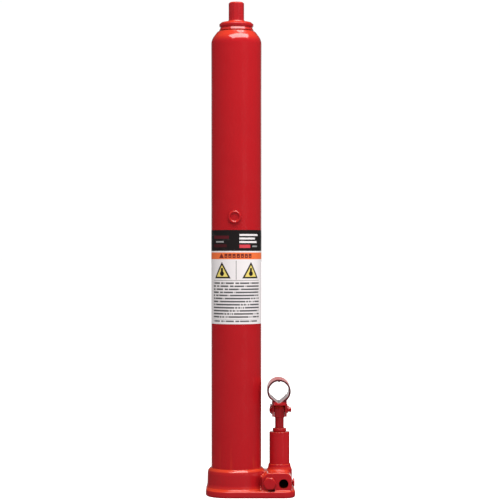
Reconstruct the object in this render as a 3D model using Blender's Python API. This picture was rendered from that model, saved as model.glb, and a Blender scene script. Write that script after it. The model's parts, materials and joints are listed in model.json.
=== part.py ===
"""A long-ram hydraulic bottle jack, piece by piece.

Metres, +Z up. The origin is on the ram's axis at the underside of the foot.
+X points to the pump, -Y to the release valve and the handle.
"""

import math

import bmesh
import bpy

MM = 0.001
ORIGIN = (0.0, 0.0, 0.0)
GAP = 0.3 * MM
MERGE = 0.001 * MM

# Directions for pieces that are drawn upright along their own Z axis.
UPRIGHT = (0.0, 0.0, 0.0)
TO_FRONT = (math.pi / 2, 0.0, 0.0)
TO_PUMP_SIDE = (0.0, math.pi / 2, 0.0)
SIDE_PLATE = (math.pi / 2, 0.0, math.pi / 2)

# Overall sizes.
CLOSED_HEIGHT = 620.0 * MM
RAM_EXPOSED = 25.0 * MM
TUBE_RADIUS = 31.75 * MM
TUBE_WALL = 2.5 * MM
PUMP_SPACE = 9.7 * MM

# Reservoir tube: its rounded shoulder and the lip under the top nut.
SHOULDER_RISE = 16.7 * MM
SHOULDER_ARC = 18.6 * MM
SHOULDER_TURN = math.radians(42.0)
LIP_THICKNESS = 2.8 * MM
LIP_EDGE = 1.0 * MM
NECK_MARGIN = 3.6 * MM
NUT_HEIGHT = 12.3 * MM

# Pressure cylinder and ram.
BORE_RADIUS = 18.0 * MM
CYLINDER_WALL = 3.0 * MM
RAM_RADIUS = 9.7 * MM
RAM_CHAMFER = 1.5 * MM
SPIGOT_LENGTH = 17.0 * MM
PISTON_HEIGHT = 17.7 * MM
CUP_HEIGHT = 6.0 * MM
PISTON_NUT_HEIGHT = 7.5 * MM
STUD_RADIUS = 6.0 * MM

# Base casting.
FLANGE_THICKNESS = 9.0 * MM
FLANGE_HALF_DEPTH = 42.0 * MM
FLANGE_LEFT_CORNER = 30.0 * MM
FLANGE_RIGHT_CORNER = 16.0 * MM
FLANGE_ROUND = 2.2 * MM
FLANGE_REACH = 3.5 * MM
COLLAR_HEIGHT = 34.0 * MM
COLLAR_WALL = 4.25 * MM
COLLAR_FILLET = 4.0 * MM
TUBE_SEAT = 22.0 * MM
CYLINDER_SEAT = 20.0 * MM
CYLINDER_RING_TOP = 30.0 * MM
CYLINDER_RING_WALL = 4.8 * MM
GASKET = 1.4 * MM
WEB_TOP = 30.6 * MM
BLOCK_TOP = 31.0 * MM
BLOCK_FACE = 37.0 * MM
BLOCK_WIDTH = 37.0 * MM
BOSS_WALL = 2.85 * MM
BOSS_HEIGHT = 38.7 * MM
BOSS_SHOULDER = 31.0 * MM

# Pump.
BARREL_RADIUS = 12.85 * MM
BARREL_TOP = 78.8 * MM
BARREL_SEAT = 27.5 * MM
BARREL_WASHER = 1.5 * MM
PLUNGER_RADIUS = 5.6 * MM
PLUNGER_FOOT = 42.0 * MM
GLAND_RADIUS = 8.7 * MM
GLAND_HEIGHT = 4.5 * MM
GLAND_DEPTH = 9.0 * MM
HEAD_WIDTH = 13.4 * MM
HEAD_DROP = 9.4 * MM
EYE_RADIUS = 6.0 * MM

# Handle socket and its pivots.
PIN_HEIGHT = 106.2 * MM
PIN_RADIUS = 3.0 * MM
PIN_PLAY = 0.3 * MM
SHEET = 2.2 * MM
SOCKET_RADIUS = 14.75 * MM
SOCKET_RISE = 25.2 * MM
SOCKET_SHIFT = -1.0 * MM
SOCKET_FRONT = 28.0 * MM
SOCKET_BACK = 22.0 * MM
EAR_GAP = 14.0 * MM
EAR_DROP = 8.9 * MM
FULCRUM_SPACING = 20.5 * MM
FULCRUM_PLAY_ALONG = 1.0 * MM
FULCRUM_PLAY_UP = 0.8 * MM
LINK_WIDTH = 10.4 * MM
LINK_THICKNESS = 7.0 * MM
LINK_FOOT_HEIGHT = 22.0 * MM
LUG_THICKNESS = 5.0 * MM
LUG_RADIUS = 7.5 * MM
PIN_HEAD = 5.5 * MM
CLIP_THICKNESS = 1.2 * MM

# Valves: places along the front and the heights of the drilled passages.
RELEASE_X = 59.0 * MM
RELEASE_HEIGHT = 17.5 * MM
RELEASE_RECESS = 6.0 * MM
RELEASE_BORE = 4.5 * MM
RECESS_FLOOR = 27.0 * MM
RELEASE_SEAT = 14.0 * MM
RELIEF_X = 41.5 * MM
RELIEF_HEIGHT = 18.5 * MM
RELIEF_HEX = 7.2 * MM
RELIEF_BORE = 4.2 * MM
SIDE_PLUG_BORE = 3.8 * MM
GALLERY_PLUG_BORE = 2.6 * MM
GALLERY_PLUG_LENGTH = 4.0 * MM
SUCTION_HEIGHT = 14.6 * MM
PASSAGE_RADIUS = 1.5 * MM
PRESSURE_ROW = 6.0 * MM
RELEASE_ROW = 11.0 * MM
RETURN_ROW = 18.0 * MM
INLET_BALL = 2.4 * MM
DELIVERY_BALL = 4.0 * MM
RELEASE_BALL = 3.0 * MM
RELIEF_BALL = 2.5 * MM
RELEASE_HOLE = 1.4 * MM
RELIEF_HOLE = 1.1 * MM
INLET_HOLE = 1.6 * MM
DELIVERY_HOLE = 2.0 * MM
DELIVERY_SEAT_RISE = 1.0 * MM
BALL_CUP = 5.5 * MM
SPRING_COIL = 2.6 * MM
SPRING_WIRE = 0.45 * MM
SPRING_LENGTH = 7.0 * MM
SPRING_TURNS = 4
NOTCH_SIZE = (8.6 * MM, 3.9 * MM)
NOTCH_BACK = 30.0 * MM

# Filler plug and label.
FILLER_HEIGHT = 348.6 * MM
FILLER_TURN = math.radians(-3.0)
FILLER_RADIUS = 8.0 * MM
FILLER_STEM = 4.7 * MM
LABEL_BOTTOM = 215.3 * MM
LABEL_TOP = 332.5 * MM
LABEL_HALF_ANGLE = math.radians(78.0)
LABEL_THICKNESS = 0.2 * MM

# Sizes that follow from the ones above.
TUBE_INNER = TUBE_RADIUS - TUBE_WALL
TUBE_TOP = CLOSED_HEIGHT - RAM_EXPOSED - NUT_HEIGHT
TUBE_BOTTOM = TUBE_SEAT + GASKET + 2 * GAP
CYLINDER_RADIUS = BORE_RADIUS + CYLINDER_WALL
CYLINDER_BOTTOM = CYLINDER_SEAT + GASKET + 2 * GAP
COLLAR_BORE = TUBE_RADIUS + GAP
COLLAR_RADIUS = TUBE_RADIUS + COLLAR_WALL
PUMP_X = TUBE_RADIUS + PUMP_SPACE + BARREL_RADIUS
BOSS_RADIUS = BARREL_RADIUS + GAP + BOSS_WALL
LINK_FOOT_BACK = BOSS_RADIUS + EYE_RADIUS + 1.5 * MM
FLANGE_LEFT = COLLAR_RADIUS + 2.6 * MM
FLANGE_RIGHT = PUMP_X + BOSS_RADIUS + FLANGE_REACH
PASSAGE_HEIGHT = RELEASE_HEIGHT
CYLINDER_RING = CYLINDER_RADIUS + GAP + CYLINDER_RING_WALL
SUCTION_X = (CYLINDER_RING + TUBE_INNER) / 2
PLUNGER_BORE = PLUNGER_RADIUS + GAP
BARREL_BOTTOM = BARREL_SEAT + BARREL_WASHER + 2 * GAP
NUT_SEAT = TUBE_TOP + GAP
SPIGOT_BOTTOM = NUT_SEAT - SPIGOT_LENGTH

CAST_RED = ((0.43, 0.012, 0.018, 1.0), 0.0, 0.3)
STEEL = ((0.55, 0.55, 0.56, 1.0), 1.0, 0.3)
RUBBER = ((0.02, 0.02, 0.02, 1.0), 0.0, 0.7)
BRONZE = ((0.55, 0.36, 0.15, 1.0), 1.0, 0.35)
COPPER = ((0.72, 0.33, 0.2, 1.0), 1.0, 0.3)
PAPER = ((0.85, 0.85, 0.83, 1.0), 0.0, 0.45)


def clear_scene():
    for thing in list(bpy.data.objects):
        bpy.data.objects.remove(thing)


def material(name, finish):
    colour, metallic, roughness = finish
    made = bpy.data.materials.new(name)
    made.use_nodes = True
    shader = made.node_tree.nodes["Principled BSDF"]
    shader.inputs["Base Color"].default_value = colour
    shader.inputs["Metallic"].default_value = metallic
    shader.inputs["Roughness"].default_value = roughness
    return made


def place(name, bm, finish, at, turn):
    """Makes an object of the drawn mesh, smooth on its round faces."""
    bmesh.ops.remove_doubles(bm, verts=bm.verts[:], dist=MERGE)
    bmesh.ops.recalc_face_normals(bm, faces=bm.faces[:])
    mesh = bpy.data.meshes.new(name)
    bm.to_mesh(mesh)
    bm.free()
    mesh.shade_smooth()
    mesh.set_sharp_from_angle(angle=math.radians(35.0))
    thing = bpy.data.objects.new(name, mesh)
    thing.data.materials.append(material(name, finish))
    thing.location = at
    thing.rotation_euler = turn
    bpy.context.collection.objects.link(thing)
    return thing


def turned(name, profile, finish=STEEL, sides=24, at=ORIGIN, turn=UPRIGHT):
    """A round piece. The (radius, height) points are joined in order, and a
    profile that doesn't start on the axis is closed into a ring."""
    bm = bmesh.new()
    verts = [bm.verts.new((radius, 0.0, height)) for radius, height in profile]
    edges = [bm.edges.new(pair) for pair in zip(verts, verts[1:])]
    if profile[0][0] > 0.0:
        edges.append(bm.edges.new((verts[-1], verts[0])))
    bmesh.ops.spin(
        bm,
        geom=verts + edges,
        cent=ORIGIN,
        axis=(0.0, 0.0, 1.0),
        angle=math.tau,
        steps=sides,
        use_merge=True,
    )
    return place(name, bm, finish, at, turn)


def plate(name, outline, thickness, finish=STEEL, at=ORIGIN, turn=UPRIGHT):
    """A flat piece: the outline pushed out along its own Z axis."""
    bm = bmesh.new()
    face = bm.faces.new([bm.verts.new((x, y, 0.0)) for x, y in outline])
    pushed = bmesh.ops.extrude_face_region(bm, geom=[face])
    moved = [item for item in pushed["geom"] if isinstance(item, bmesh.types.BMVert)]
    bmesh.ops.translate(bm, verts=moved, vec=(0.0, 0.0, thickness))
    return place(name, bm, finish, at, turn)


def arc(centre, radius, start, end, steps):
    """Points round an arc, from one angle in degrees to the other."""
    points = []
    for step in range(steps + 1):
        angle = math.radians(start + (end - start) * step / steps)
        x = centre[0] + radius * math.cos(angle)
        y = centre[1] + radius * math.sin(angle)
        points.append((x, y))
    return points


def rod(radius, low, high):
    return [(0.0, low), (radius, low), (radius, high), (0.0, high)]


def ring(inner, outer, low, high):
    return [(inner, low), (outer, low), (outer, high), (inner, high)]


def o_ring(name, radius, section, at=ORIGIN, turn=UPRIGHT, height=0.0, sides=24):
    profile = arc((radius, height), section, 0.0, 300.0, 5)
    return turned(name, profile, RUBBER, sides, at, turn)


def ball(name, radius, at):
    profile = arc((0.0, 0.0), radius, -90.0, 90.0, 6)
    profile[0] = (0.0, -radius)
    profile[-1] = (0.0, radius)
    return turned(name, profile, STEEL, 12, at)


def guide(thing):
    thing.hide_render = True
    thing.display_type = "WIRE"


def combine(thing, others, operation):
    """One exact Boolean step with all the other shapes together."""
    group = bpy.data.collections.new(thing.name + "_" + operation.lower())
    for other in others:
        group.objects.link(other)
        guide(other)
    step = thing.modifiers.new(group.name, "BOOLEAN")
    step.operation = operation
    step.solver = "EXACT"
    step.operand_type = "COLLECTION"
    step.collection = group


def cut(thing, cutters):
    combine(thing, cutters, "DIFFERENCE")


def weld(thing, additions):
    combine(thing, additions, "UNION")


def drilled(name, radius, start, length, turn=UPRIGHT, sides=10):
    """A cutter for a straight hole that begins at start."""
    return turned(name, rod(radius, 0.0, length), STEEL, sides, start, turn)


def pivot(name, at):
    """An empty on a joint's axis, to which the moving pieces are parented."""
    empty = bpy.data.objects.new(name, None)
    empty.location = at
    bpy.context.collection.objects.link(empty)
    return empty


def carry(parent, pieces):
    bpy.context.view_layer.update()
    for piece in pieces:
        piece.parent = parent
        piece.matrix_parent_inverse = parent.matrix_world.inverted()


def spring(name, low, high, at=ORIGIN, turn=UPRIGHT):
    """A helical compression spring, as a bevelled curve with capped ends."""
    coil = SPRING_COIL
    wire = SPRING_WIRE
    curve = bpy.data.curves.new(name, "CURVE")
    curve.dimensions = "3D"
    curve.bevel_depth = wire
    curve.bevel_resolution = 0
    curve.use_fill_caps = True
    line = curve.splines.new("POLY")
    steps = SPRING_TURNS * 10
    line.points.add(steps)
    for step in range(steps + 1):
        angle = math.tau * step / 10
        height = low + wire + (high - low - 2 * wire) * step / steps
        x = coil * math.cos(angle)
        y = coil * math.sin(angle)
        line.points[step].co = (x, y, height, 1.0)
    thing = bpy.data.objects.new(name, curve)
    curve.materials.append(material(name, STEEL))
    thing.location = at
    thing.rotation_euler = turn
    bpy.context.collection.objects.link(thing)
    return thing


def flange_outline():
    """The foot seen from above, anticlockwise, its corners round."""
    left = -FLANGE_LEFT + FLANGE_LEFT_CORNER
    right = FLANGE_RIGHT - FLANGE_RIGHT_CORNER
    wide = FLANGE_HALF_DEPTH - FLANGE_LEFT_CORNER
    narrow = FLANGE_HALF_DEPTH - FLANGE_RIGHT_CORNER
    points = arc((right, -narrow), FLANGE_RIGHT_CORNER, -90.0, 0.0, 5)
    points += arc((right, narrow), FLANGE_RIGHT_CORNER, 0.0, 90.0, 5)
    points += arc((left, wide), FLANGE_LEFT_CORNER, 90.0, 180.0, 7)
    points += arc((left, -wide), FLANGE_LEFT_CORNER, 180.0, 270.0, 7)
    return points


def base_flange():
    flange = plate("base", flange_outline(), FLANGE_THICKNESS, CAST_RED)
    edges = flange.modifiers.new("rounded edges", "BEVEL")
    edges.width = FLANGE_ROUND
    edges.segments = 2
    edges.limit_method = "ANGLE"
    edges.angle_limit = math.radians(60.0)
    return flange


def base_additions():
    sunk = FLANGE_THICKNESS - 2.0 * MM
    fillet = FLANGE_THICKNESS - GAP
    collar = turned(
        "collar_form",
        [
            (0.0, sunk),
            (COLLAR_RADIUS + 1.8 * MM, sunk),
            (COLLAR_RADIUS + 1.8 * MM, fillet),
            (COLLAR_RADIUS + 0.7 * MM, FLANGE_THICKNESS + COLLAR_FILLET * 0.5),
            (COLLAR_RADIUS + 0.3 * MM, FLANGE_THICKNESS + COLLAR_FILLET),
            (COLLAR_RADIUS, COLLAR_HEIGHT - 6.6 * MM),
            (COLLAR_RADIUS - 1.6 * MM, COLLAR_HEIGHT - 3.6 * MM),
            (COLLAR_BORE + 0.8 * MM, COLLAR_HEIGHT),
            (0.0, COLLAR_HEIGHT),
        ],
        CAST_RED,
        48,
    )
    boss = turned(
        "boss_form",
        [
            (0.0, sunk),
            (BOSS_RADIUS + 1.0 * MM, sunk),
            (BOSS_RADIUS, FLANGE_THICKNESS + 3.0 * MM),
            (BOSS_RADIUS, BOSS_SHOULDER),
            (BOSS_RADIUS - 1.2 * MM, BOSS_SHOULDER + 3.2 * MM),
            (BARREL_RADIUS + GAP + 0.8 * MM, BOSS_HEIGHT),
            (0.0, BOSS_HEIGHT),
        ],
        CAST_RED,
        32,
        (PUMP_X, 0.0, 0.0),
    )
    web = plate(
        "web_form",
        [
            (TUBE_RADIUS - 8.0 * MM, -15.0 * MM),
            (PUMP_X, -15.0 * MM),
            (PUMP_X, 15.0 * MM),
            (TUBE_RADIUS - 8.0 * MM, 15.0 * MM),
        ],
        WEB_TOP - sunk,
        CAST_RED,
        (0.0, 0.0, sunk),
    )
    return [collar, boss, web, valve_block(sunk)] + link_lugs(sunk)


def valve_block(low):
    """The block at the front of the pump, its upper corners cut and rounded."""
    right = PUMP_X + BLOCK_WIDTH / 2 - 3.8 * MM
    left = right - BLOCK_WIDTH
    corner = 7.5 * MM
    outline = [(left, low), (right, low)]
    outline += arc((right - corner, BLOCK_TOP - corner), corner, 0.0, 90.0, 5)
    outline += [(left + 7.0 * MM, BLOCK_TOP), (left, BLOCK_TOP - 6.0 * MM)]
    return plate("block_form", outline, BLOCK_FACE, CAST_RED, turn=TO_FRONT)


def link_lugs(low):
    """The two lugs behind the pump that hold the link's lower pin."""
    front = LINK_FOOT_BACK - LUG_RADIUS - 3.0 * MM
    back = LINK_FOOT_BACK + LUG_RADIUS
    outline = [(front, low), (back, low)]
    outline += arc((LINK_FOOT_BACK, LINK_FOOT_HEIGHT), LUG_RADIUS, 0.0, 90.0, 5)
    outline += [(front, LINK_FOOT_HEIGHT + LUG_RADIUS)]
    lugs = []
    inside = LINK_WIDTH / 2 + GAP
    for side, start in (("left", -inside - LUG_THICKNESS), ("right", inside)):
        at = (PUMP_X + start, 0.0, 0.0)
        lugs.append(plate("lug_form_" + side, outline, LUG_THICKNESS, CAST_RED, at, SIDE_PLATE))
    return lugs


def base_seats():
    """The seats that hold the two tubes and the pump barrel."""
    above = BOSS_HEIGHT + 10.0 * MM
    tanks = turned(
        "tank_cutter",
        [
            (0.0, CYLINDER_SEAT),
            (CYLINDER_RADIUS + GAP, CYLINDER_SEAT),
            (CYLINDER_RADIUS + GAP, CYLINDER_RING_TOP),
            (CYLINDER_RING, CYLINDER_RING_TOP),
            (CYLINDER_RING, TUBE_SEAT),
            (COLLAR_BORE, TUBE_SEAT),
            (COLLAR_BORE, above),
            (0.0, above),
        ],
        CAST_RED,
        48,
    )
    barrel = turned(
        "barrel_cutter",
        [
            (0.0, TUBE_SEAT),
            (BALL_CUP + 1.0 * MM, TUBE_SEAT),
            (BALL_CUP + 1.0 * MM, BARREL_SEAT),
            (BARREL_RADIUS + GAP, BARREL_SEAT),
            (BARREL_RADIUS + GAP, above),
            (0.0, above),
        ],
        CAST_RED,
        32,
        (PUMP_X, 0.0, 0.0),
    )
    return [tanks, barrel]


def base_passages():
    """The drilled oil passages: suction, pressure, release and return."""
    small = PASSAGE_RADIUS
    edge = PUMP_X + BOSS_RADIUS + 6.0 * MM
    level = PASSAGE_HEIGHT
    suction = (SUCTION_X, 0.0, SUCTION_HEIGHT)
    delivery = (0.0, -PRESSURE_ROW, level - 2.0 * MM)
    holes = [
        drilled("suction_cutter", 2.0 * MM, suction, edge - SUCTION_X, TO_PUMP_SIDE),
        drilled("suction_riser_cutter", small, suction, 15.0 * MM),
        drilled("inlet_cutter", INLET_HOLE, (PUMP_X, 0.0, SUCTION_HEIGHT), 15.0 * MM),
        drilled("outlet_cutter", 1.3 * MM, (PUMP_X, -5.0 * MM, level), 8.0 * MM),
        drilled("delivery_riser_cutter", DELIVERY_HOLE, delivery, 9.0 * MM),
        drilled("release_riser_cutter", small, (11.0 * MM, -RELEASE_ROW, level), 8.0 * MM),
        drilled("return_riser_cutter", small, return_riser(), 8.0 * MM),
    ]
    for row, start in gallery_rows():
        name = "gallery_cutter_%02d" % round(row / MM)
        holes.append(drilled(name, small, (start, -row, level), edge - start, TO_PUMP_SIDE))
        plug = (gallery_plug_start(row), -row, level)
        length = edge - plug[0]
        mouth = drilled(name + "_mouth", GALLERY_PLUG_BORE, plug, length, TO_PUMP_SIDE, 12)
        holes.append(mouth)
    return holes


def return_riser():
    """Where the return passage rises into the reservoir."""
    return (math.sqrt(SUCTION_X ** 2 - RETURN_ROW ** 2), -RETURN_ROW, PASSAGE_HEIGHT)


def gallery_rows():
    """Each cross gallery: its distance towards the front and where it begins."""
    return [
        (PRESSURE_ROW, 0.0),
        (RELEASE_ROW, 11.0 * MM),
        (RETURN_ROW, return_riser()[0]),
    ]


def gallery_plug_start(row):
    """Where a gallery's plug sits: just inside the casting's side."""
    boss = math.sqrt(max(BOSS_RADIUS ** 2 - row ** 2, 0.0))
    block = BLOCK_WIDTH / 2 - 3.8 * MM
    return PUMP_X + max(boss, block) - 6.0 * MM


def base_bores():
    """The bores for the release valve, the relief valve, plugs and pins."""
    front = BLOCK_FACE + 5.0 * MM
    ball_end = (RELEASE_X, -RELEASE_SEAT, RELEASE_HEIGHT)
    recess = (RELEASE_X, -RECESS_FLOOR, RELEASE_HEIGHT)
    release_seat = (RELEASE_X, -RELEASE_ROW, RELEASE_HEIGHT)
    relief_end = (RELIEF_X, -RELEASE_SEAT, RELIEF_HEIGHT)
    relief_seat = (RELIEF_X, -RELEASE_ROW, RELIEF_HEIGHT)
    side_mouth = (PUMP_X + BOSS_RADIUS - 5.0 * MM, 0.0, SUCTION_HEIGHT)
    delivery = (0.0, -PRESSURE_ROW, PASSAGE_HEIGHT + DELIVERY_SEAT_RISE)
    pin_start = (PUMP_X - 20.0 * MM, LINK_FOOT_BACK, LINK_FOOT_HEIGHT)
    depth = front - RELEASE_SEAT
    pin_bore = PIN_RADIUS + PIN_PLAY
    return [
        drilled("release_cutter", RELEASE_BORE, ball_end, depth, TO_FRONT, 20),
        drilled("release_recess_cutter", RELEASE_RECESS, recess, 15.0 * MM, TO_FRONT, 24),
        drilled("release_seat_cutter", RELEASE_HOLE, release_seat, 6.0 * MM, TO_FRONT),
        drilled("relief_cutter", RELIEF_BORE, relief_end, depth, TO_FRONT, 20),
        drilled("relief_seat_cutter", RELIEF_HOLE, relief_seat, 6.0 * MM, TO_FRONT),
        drilled("side_plug_cutter", SIDE_PLUG_BORE, side_mouth, 12.0 * MM, TO_PUMP_SIDE, 16),
        drilled("delivery_cutter", BALL_CUP, delivery, 6.0 * MM, sides=16),
        drilled("link_pin_cutter", pin_bore, pin_start, 40.0 * MM, TO_PUMP_SIDE, 16),
        spanner_notch(),
    ]


def spanner_notch():
    """The pocket under the relief cap that leaves room for a spanner."""
    half = NOTCH_SIZE[0] / 2
    low = FLANGE_THICKNESS - 1.0 * MM
    high = low + NOTCH_SIZE[1]
    middle = RELIEF_X + 2.3 * MM
    outline = [
        (middle - half, low),
        (middle + half, low),
        (middle + half, high),
        (middle - half, high),
    ]
    reach = FLANGE_HALF_DEPTH + 2.0 * MM - NOTCH_BACK
    start = (0.0, -NOTCH_BACK, 0.0)
    return plate("notch_cutter", outline, reach, CAST_RED, start, TO_FRONT)


def make_base():
    base = base_flange()
    weld(base, base_additions())
    cut(base, base_seats() + base_passages() + base_bores())
    return base


def tube_profile():
    """The reservoir tube's section, up the outside and down the inside."""
    start = TUBE_TOP - SHOULDER_RISE
    centre = (TUBE_RADIUS - SHOULDER_ARC, start)
    turn = math.degrees(SHOULDER_TURN)
    neck = CYLINDER_RADIUS + NECK_MARGIN
    outer = arc(centre, SHOULDER_ARC, 0.0, turn, 6)
    outer += [(neck, TUBE_TOP - LIP_EDGE), (neck - LIP_EDGE, TUBE_TOP)]
    mouth = BORE_RADIUS + 0.6 * MM
    inner = [(mouth, TUBE_TOP), (mouth, TUBE_TOP - LIP_THICKNESS)]
    inner += [(neck - TUBE_WALL, TUBE_TOP - LIP_THICKNESS)]
    inner += arc(centre, SHOULDER_ARC - TUBE_WALL, turn, 0.0, 4)
    return [(TUBE_INNER, TUBE_BOTTOM), (TUBE_RADIUS, TUBE_BOTTOM)] + outer + inner


def make_tubes():
    tube = turned("reservoir_tube", tube_profile(), CAST_RED, 48)
    start = (0.0, 0.0, FILLER_HEIGHT)
    length = TUBE_RADIUS + 5.0 * MM
    turn = (math.pi / 2, 0.0, FILLER_TURN)
    hole = drilled("filler_hole_cutter", FILLER_STEM + GAP, start, length, turn, 20)
    cut(tube, [hole])
    top = TUBE_TOP - LIP_THICKNESS - 2.2 * MM
    cylinder = ring(BORE_RADIUS, CYLINDER_RADIUS, CYLINDER_BOTTOM, top)
    turned("cylinder_tube", cylinder, STEEL, 32)
    seat = TUBE_SEAT + GAP
    outer_gasket = ring(TUBE_INNER + GAP, TUBE_RADIUS, seat, seat + GASKET)
    turned("reservoir_gasket", outer_gasket, RUBBER, 32)
    seat = CYLINDER_SEAT + GAP
    inner_gasket = ring(BORE_RADIUS + GAP, CYLINDER_RADIUS, seat, seat + GASKET)
    turned("cylinder_gasket", inner_gasket, COPPER, 32)
    high = TUBE_TOP - LIP_THICKNESS - GAP
    seal = ring(BORE_RADIUS, CYLINDER_RADIUS - 0.5 * MM, top + GAP, high)
    turned("neck_seal", seal, RUBBER, 32)


def make_top_nut():
    """The gland nut that clamps the reservoir tube and guides the ram."""
    bore = RAM_RADIUS + 2 * GAP
    low = SPIGOT_BOTTOM
    face = BORE_RADIUS + 3.8 * MM
    dome = face - 1.5 * MM
    wiper = RAM_RADIUS + 2.6 * MM
    top = NUT_SEAT + NUT_HEIGHT - GAP
    profile = [
        (bore, low),
        (BORE_RADIUS - GAP, low),
        (BORE_RADIUS - GAP, NUT_SEAT),
        (face - 0.6 * MM, NUT_SEAT),
        (face, NUT_SEAT + 0.6 * MM),
        (face, top - 4.7 * MM),
        (face - 0.4 * MM, top - 3.3 * MM),
        (dome, top - 2.2 * MM),
        (dome - 3.0 * MM, top - 0.9 * MM),
        (wiper + 0.8 * MM, top),
        (wiper, top),
        (wiper, top - 4.7 * MM),
        (bore, top - 4.7 * MM),
        (bore, low + 15.7 * MM),
        (bore + 3.2 * MM, low + 15.7 * MM),
        (bore + 3.2 * MM, low + 10.7 * MM),
        (bore, low + 10.7 * MM),
        (bore, low + 8.0 * MM),
        (bore + 1.9 * MM, low + 8.0 * MM),
        (bore + 1.9 * MM, low + 2.0 * MM),
        (bore, low + 2.0 * MM),
    ]
    turned("top_nut", profile, CAST_RED, 32)
    inner = RAM_RADIUS + GAP
    bush = ring(inner, bore + 1.6 * MM, low + 2.3 * MM, low + 7.7 * MM)
    turned("rod_guide", bush, BRONZE, 24)
    seal = ring(inner, bore + 2.9 * MM, low + 11.0 * MM, low + 15.4 * MM)
    turned("rod_seal", seal, RUBBER, 24)
    lip = [
        (inner, top - 4.4 * MM),
        (wiper - GAP, top - 4.4 * MM),
        (wiper - GAP, top - 0.4 * MM),
        (inner + 1.0 * MM, top + 1.5 * MM),
        (inner, top + 1.7 * MM),
    ]
    turned("rod_wiper", lip, RUBBER, 32)


def make_ram():
    """The ram with its piston, cup, guide ring and nut."""
    axis = pivot("ram_axis", ORIGIN)
    nut_low = CYLINDER_RING_TOP + 14.0 * MM
    cup_low = nut_low + PISTON_NUT_HEIGHT + GAP
    piston_low = cup_low + CUP_HEIGHT + GAP
    shoulder = piston_low + PISTON_HEIGHT + GAP
    tip = RAM_RADIUS - RAM_CHAMFER
    rod_profile = [
        (0.0, nut_low - 1.0 * MM),
        (STUD_RADIUS, nut_low - 1.0 * MM),
        (STUD_RADIUS, shoulder),
        (RAM_RADIUS, shoulder),
        (RAM_RADIUS, CLOSED_HEIGHT - RAM_CHAMFER),
        (tip, CLOSED_HEIGHT),
        (0.0, CLOSED_HEIGHT),
    ]
    ram = turned("ram_rod", rod_profile, STEEL, 32)
    outer = BORE_RADIUS - GAP
    eye = STUD_RADIUS + GAP
    groove = outer - 2.0 * MM
    piston_profile = [
        (eye, piston_low),
        (outer, piston_low),
        (outer, piston_low + 4.0 * MM),
        (groove, piston_low + 4.0 * MM),
        (groove, piston_low + 12.0 * MM),
        (outer, piston_low + 12.0 * MM),
        (outer, piston_low + PISTON_HEIGHT),
        (eye, piston_low + PISTON_HEIGHT),
    ]
    piston = turned("piston", piston_profile, STEEL, 32)
    band = ring(groove + GAP, outer, piston_low + 4.3 * MM, piston_low + 11.7 * MM)
    wear_ring = turned("piston_guide_ring", band, BRONZE, 32)
    cup_profile = [
        (eye, cup_low + 2.5 * MM),
        (outer - 3.0 * MM, cup_low + 2.5 * MM),
        (outer - 2.0 * MM, cup_low),
        (outer, cup_low),
        (outer, cup_low + CUP_HEIGHT),
        (eye, cup_low + CUP_HEIGHT),
    ]
    cup = turned("piston_cup", cup_profile, RUBBER, 32)
    hexagon = arc((0.0, 0.0), RAM_RADIUS + 0.8 * MM, 0.0, 300.0, 5)
    nut = plate("piston_nut", hexagon, PISTON_NUT_HEIGHT, STEEL, (0.0, 0.0, nut_low))
    below = (0.0, 0.0, nut_low - 1.0 * MM)
    hole = drilled("piston_nut_cutter", eye, below, PISTON_NUT_HEIGHT + 2.0 * MM, sides=16)
    cut(nut, [hole])
    carry(axis, [ram, piston, wear_ring, cup, nut])


def make_filler_plug():
    """A pressed-in rubber plug, its head shaped to the round tube."""
    turn = (math.pi / 2, 0.0, FILLER_TURN)
    outer = TUBE_RADIUS + 3.1 * MM
    head_profile = [
        (0.0, TUBE_RADIUS - 3.0 * MM),
        (FILLER_RADIUS, TUBE_RADIUS - 3.0 * MM),
        (FILLER_RADIUS, outer - 0.8 * MM),
        (FILLER_RADIUS - 0.8 * MM, outer),
        (FILLER_RADIUS - 2.2 * MM, outer),
        (FILLER_RADIUS - 3.2 * MM, outer - 1.6 * MM),
        (0.0, outer - 1.6 * MM),
    ]
    height = (0.0, 0.0, FILLER_HEIGHT)
    head = turned("filler_plug", head_profile, CAST_RED, 24, height, turn)
    below = (0.0, 0.0, FILLER_HEIGHT - 20.0 * MM)
    body = drilled("filler_seat_cutter", TUBE_RADIUS + GAP, below, 40.0 * MM, sides=48)
    stem_profile = [
        (0.0, TUBE_INNER - 3.0 * MM),
        (FILLER_STEM - 1.0 * MM, TUBE_INNER - 3.0 * MM),
        (FILLER_STEM, TUBE_INNER - 1.5 * MM),
        (FILLER_STEM, TUBE_RADIUS + 1.0 * MM),
        (0.0, TUBE_RADIUS + 1.0 * MM),
    ]
    stem = turned("filler_stem_form", stem_profile, CAST_RED, 20, height, turn)
    cut(head, [body])
    weld(head, [stem])


def make_label():
    """The wrap-round label, a thin sleeve that stops short of the back."""
    inner = TUBE_RADIUS + GAP
    bm = bmesh.new()
    steps = 24
    corners = [
        (inner, LABEL_BOTTOM),
        (inner + LABEL_THICKNESS, LABEL_BOTTOM),
        (inner + LABEL_THICKNESS, LABEL_TOP),
        (inner, LABEL_TOP),
    ]
    start = -math.pi / 2 - LABEL_HALF_ANGLE
    verts = []
    for radius, height in corners:
        point = (radius * math.cos(start), radius * math.sin(start), height)
        verts.append(bm.verts.new(point))
    face = bm.faces.new(verts)
    bmesh.ops.spin(
        bm,
        geom=[face],
        cent=ORIGIN,
        axis=(0.0, 0.0, 1.0),
        angle=2 * LABEL_HALF_ANGLE,
        steps=steps,
        use_merge=False,
    )
    place("label", bm, PAPER, ORIGIN, UPRIGHT)


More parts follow.
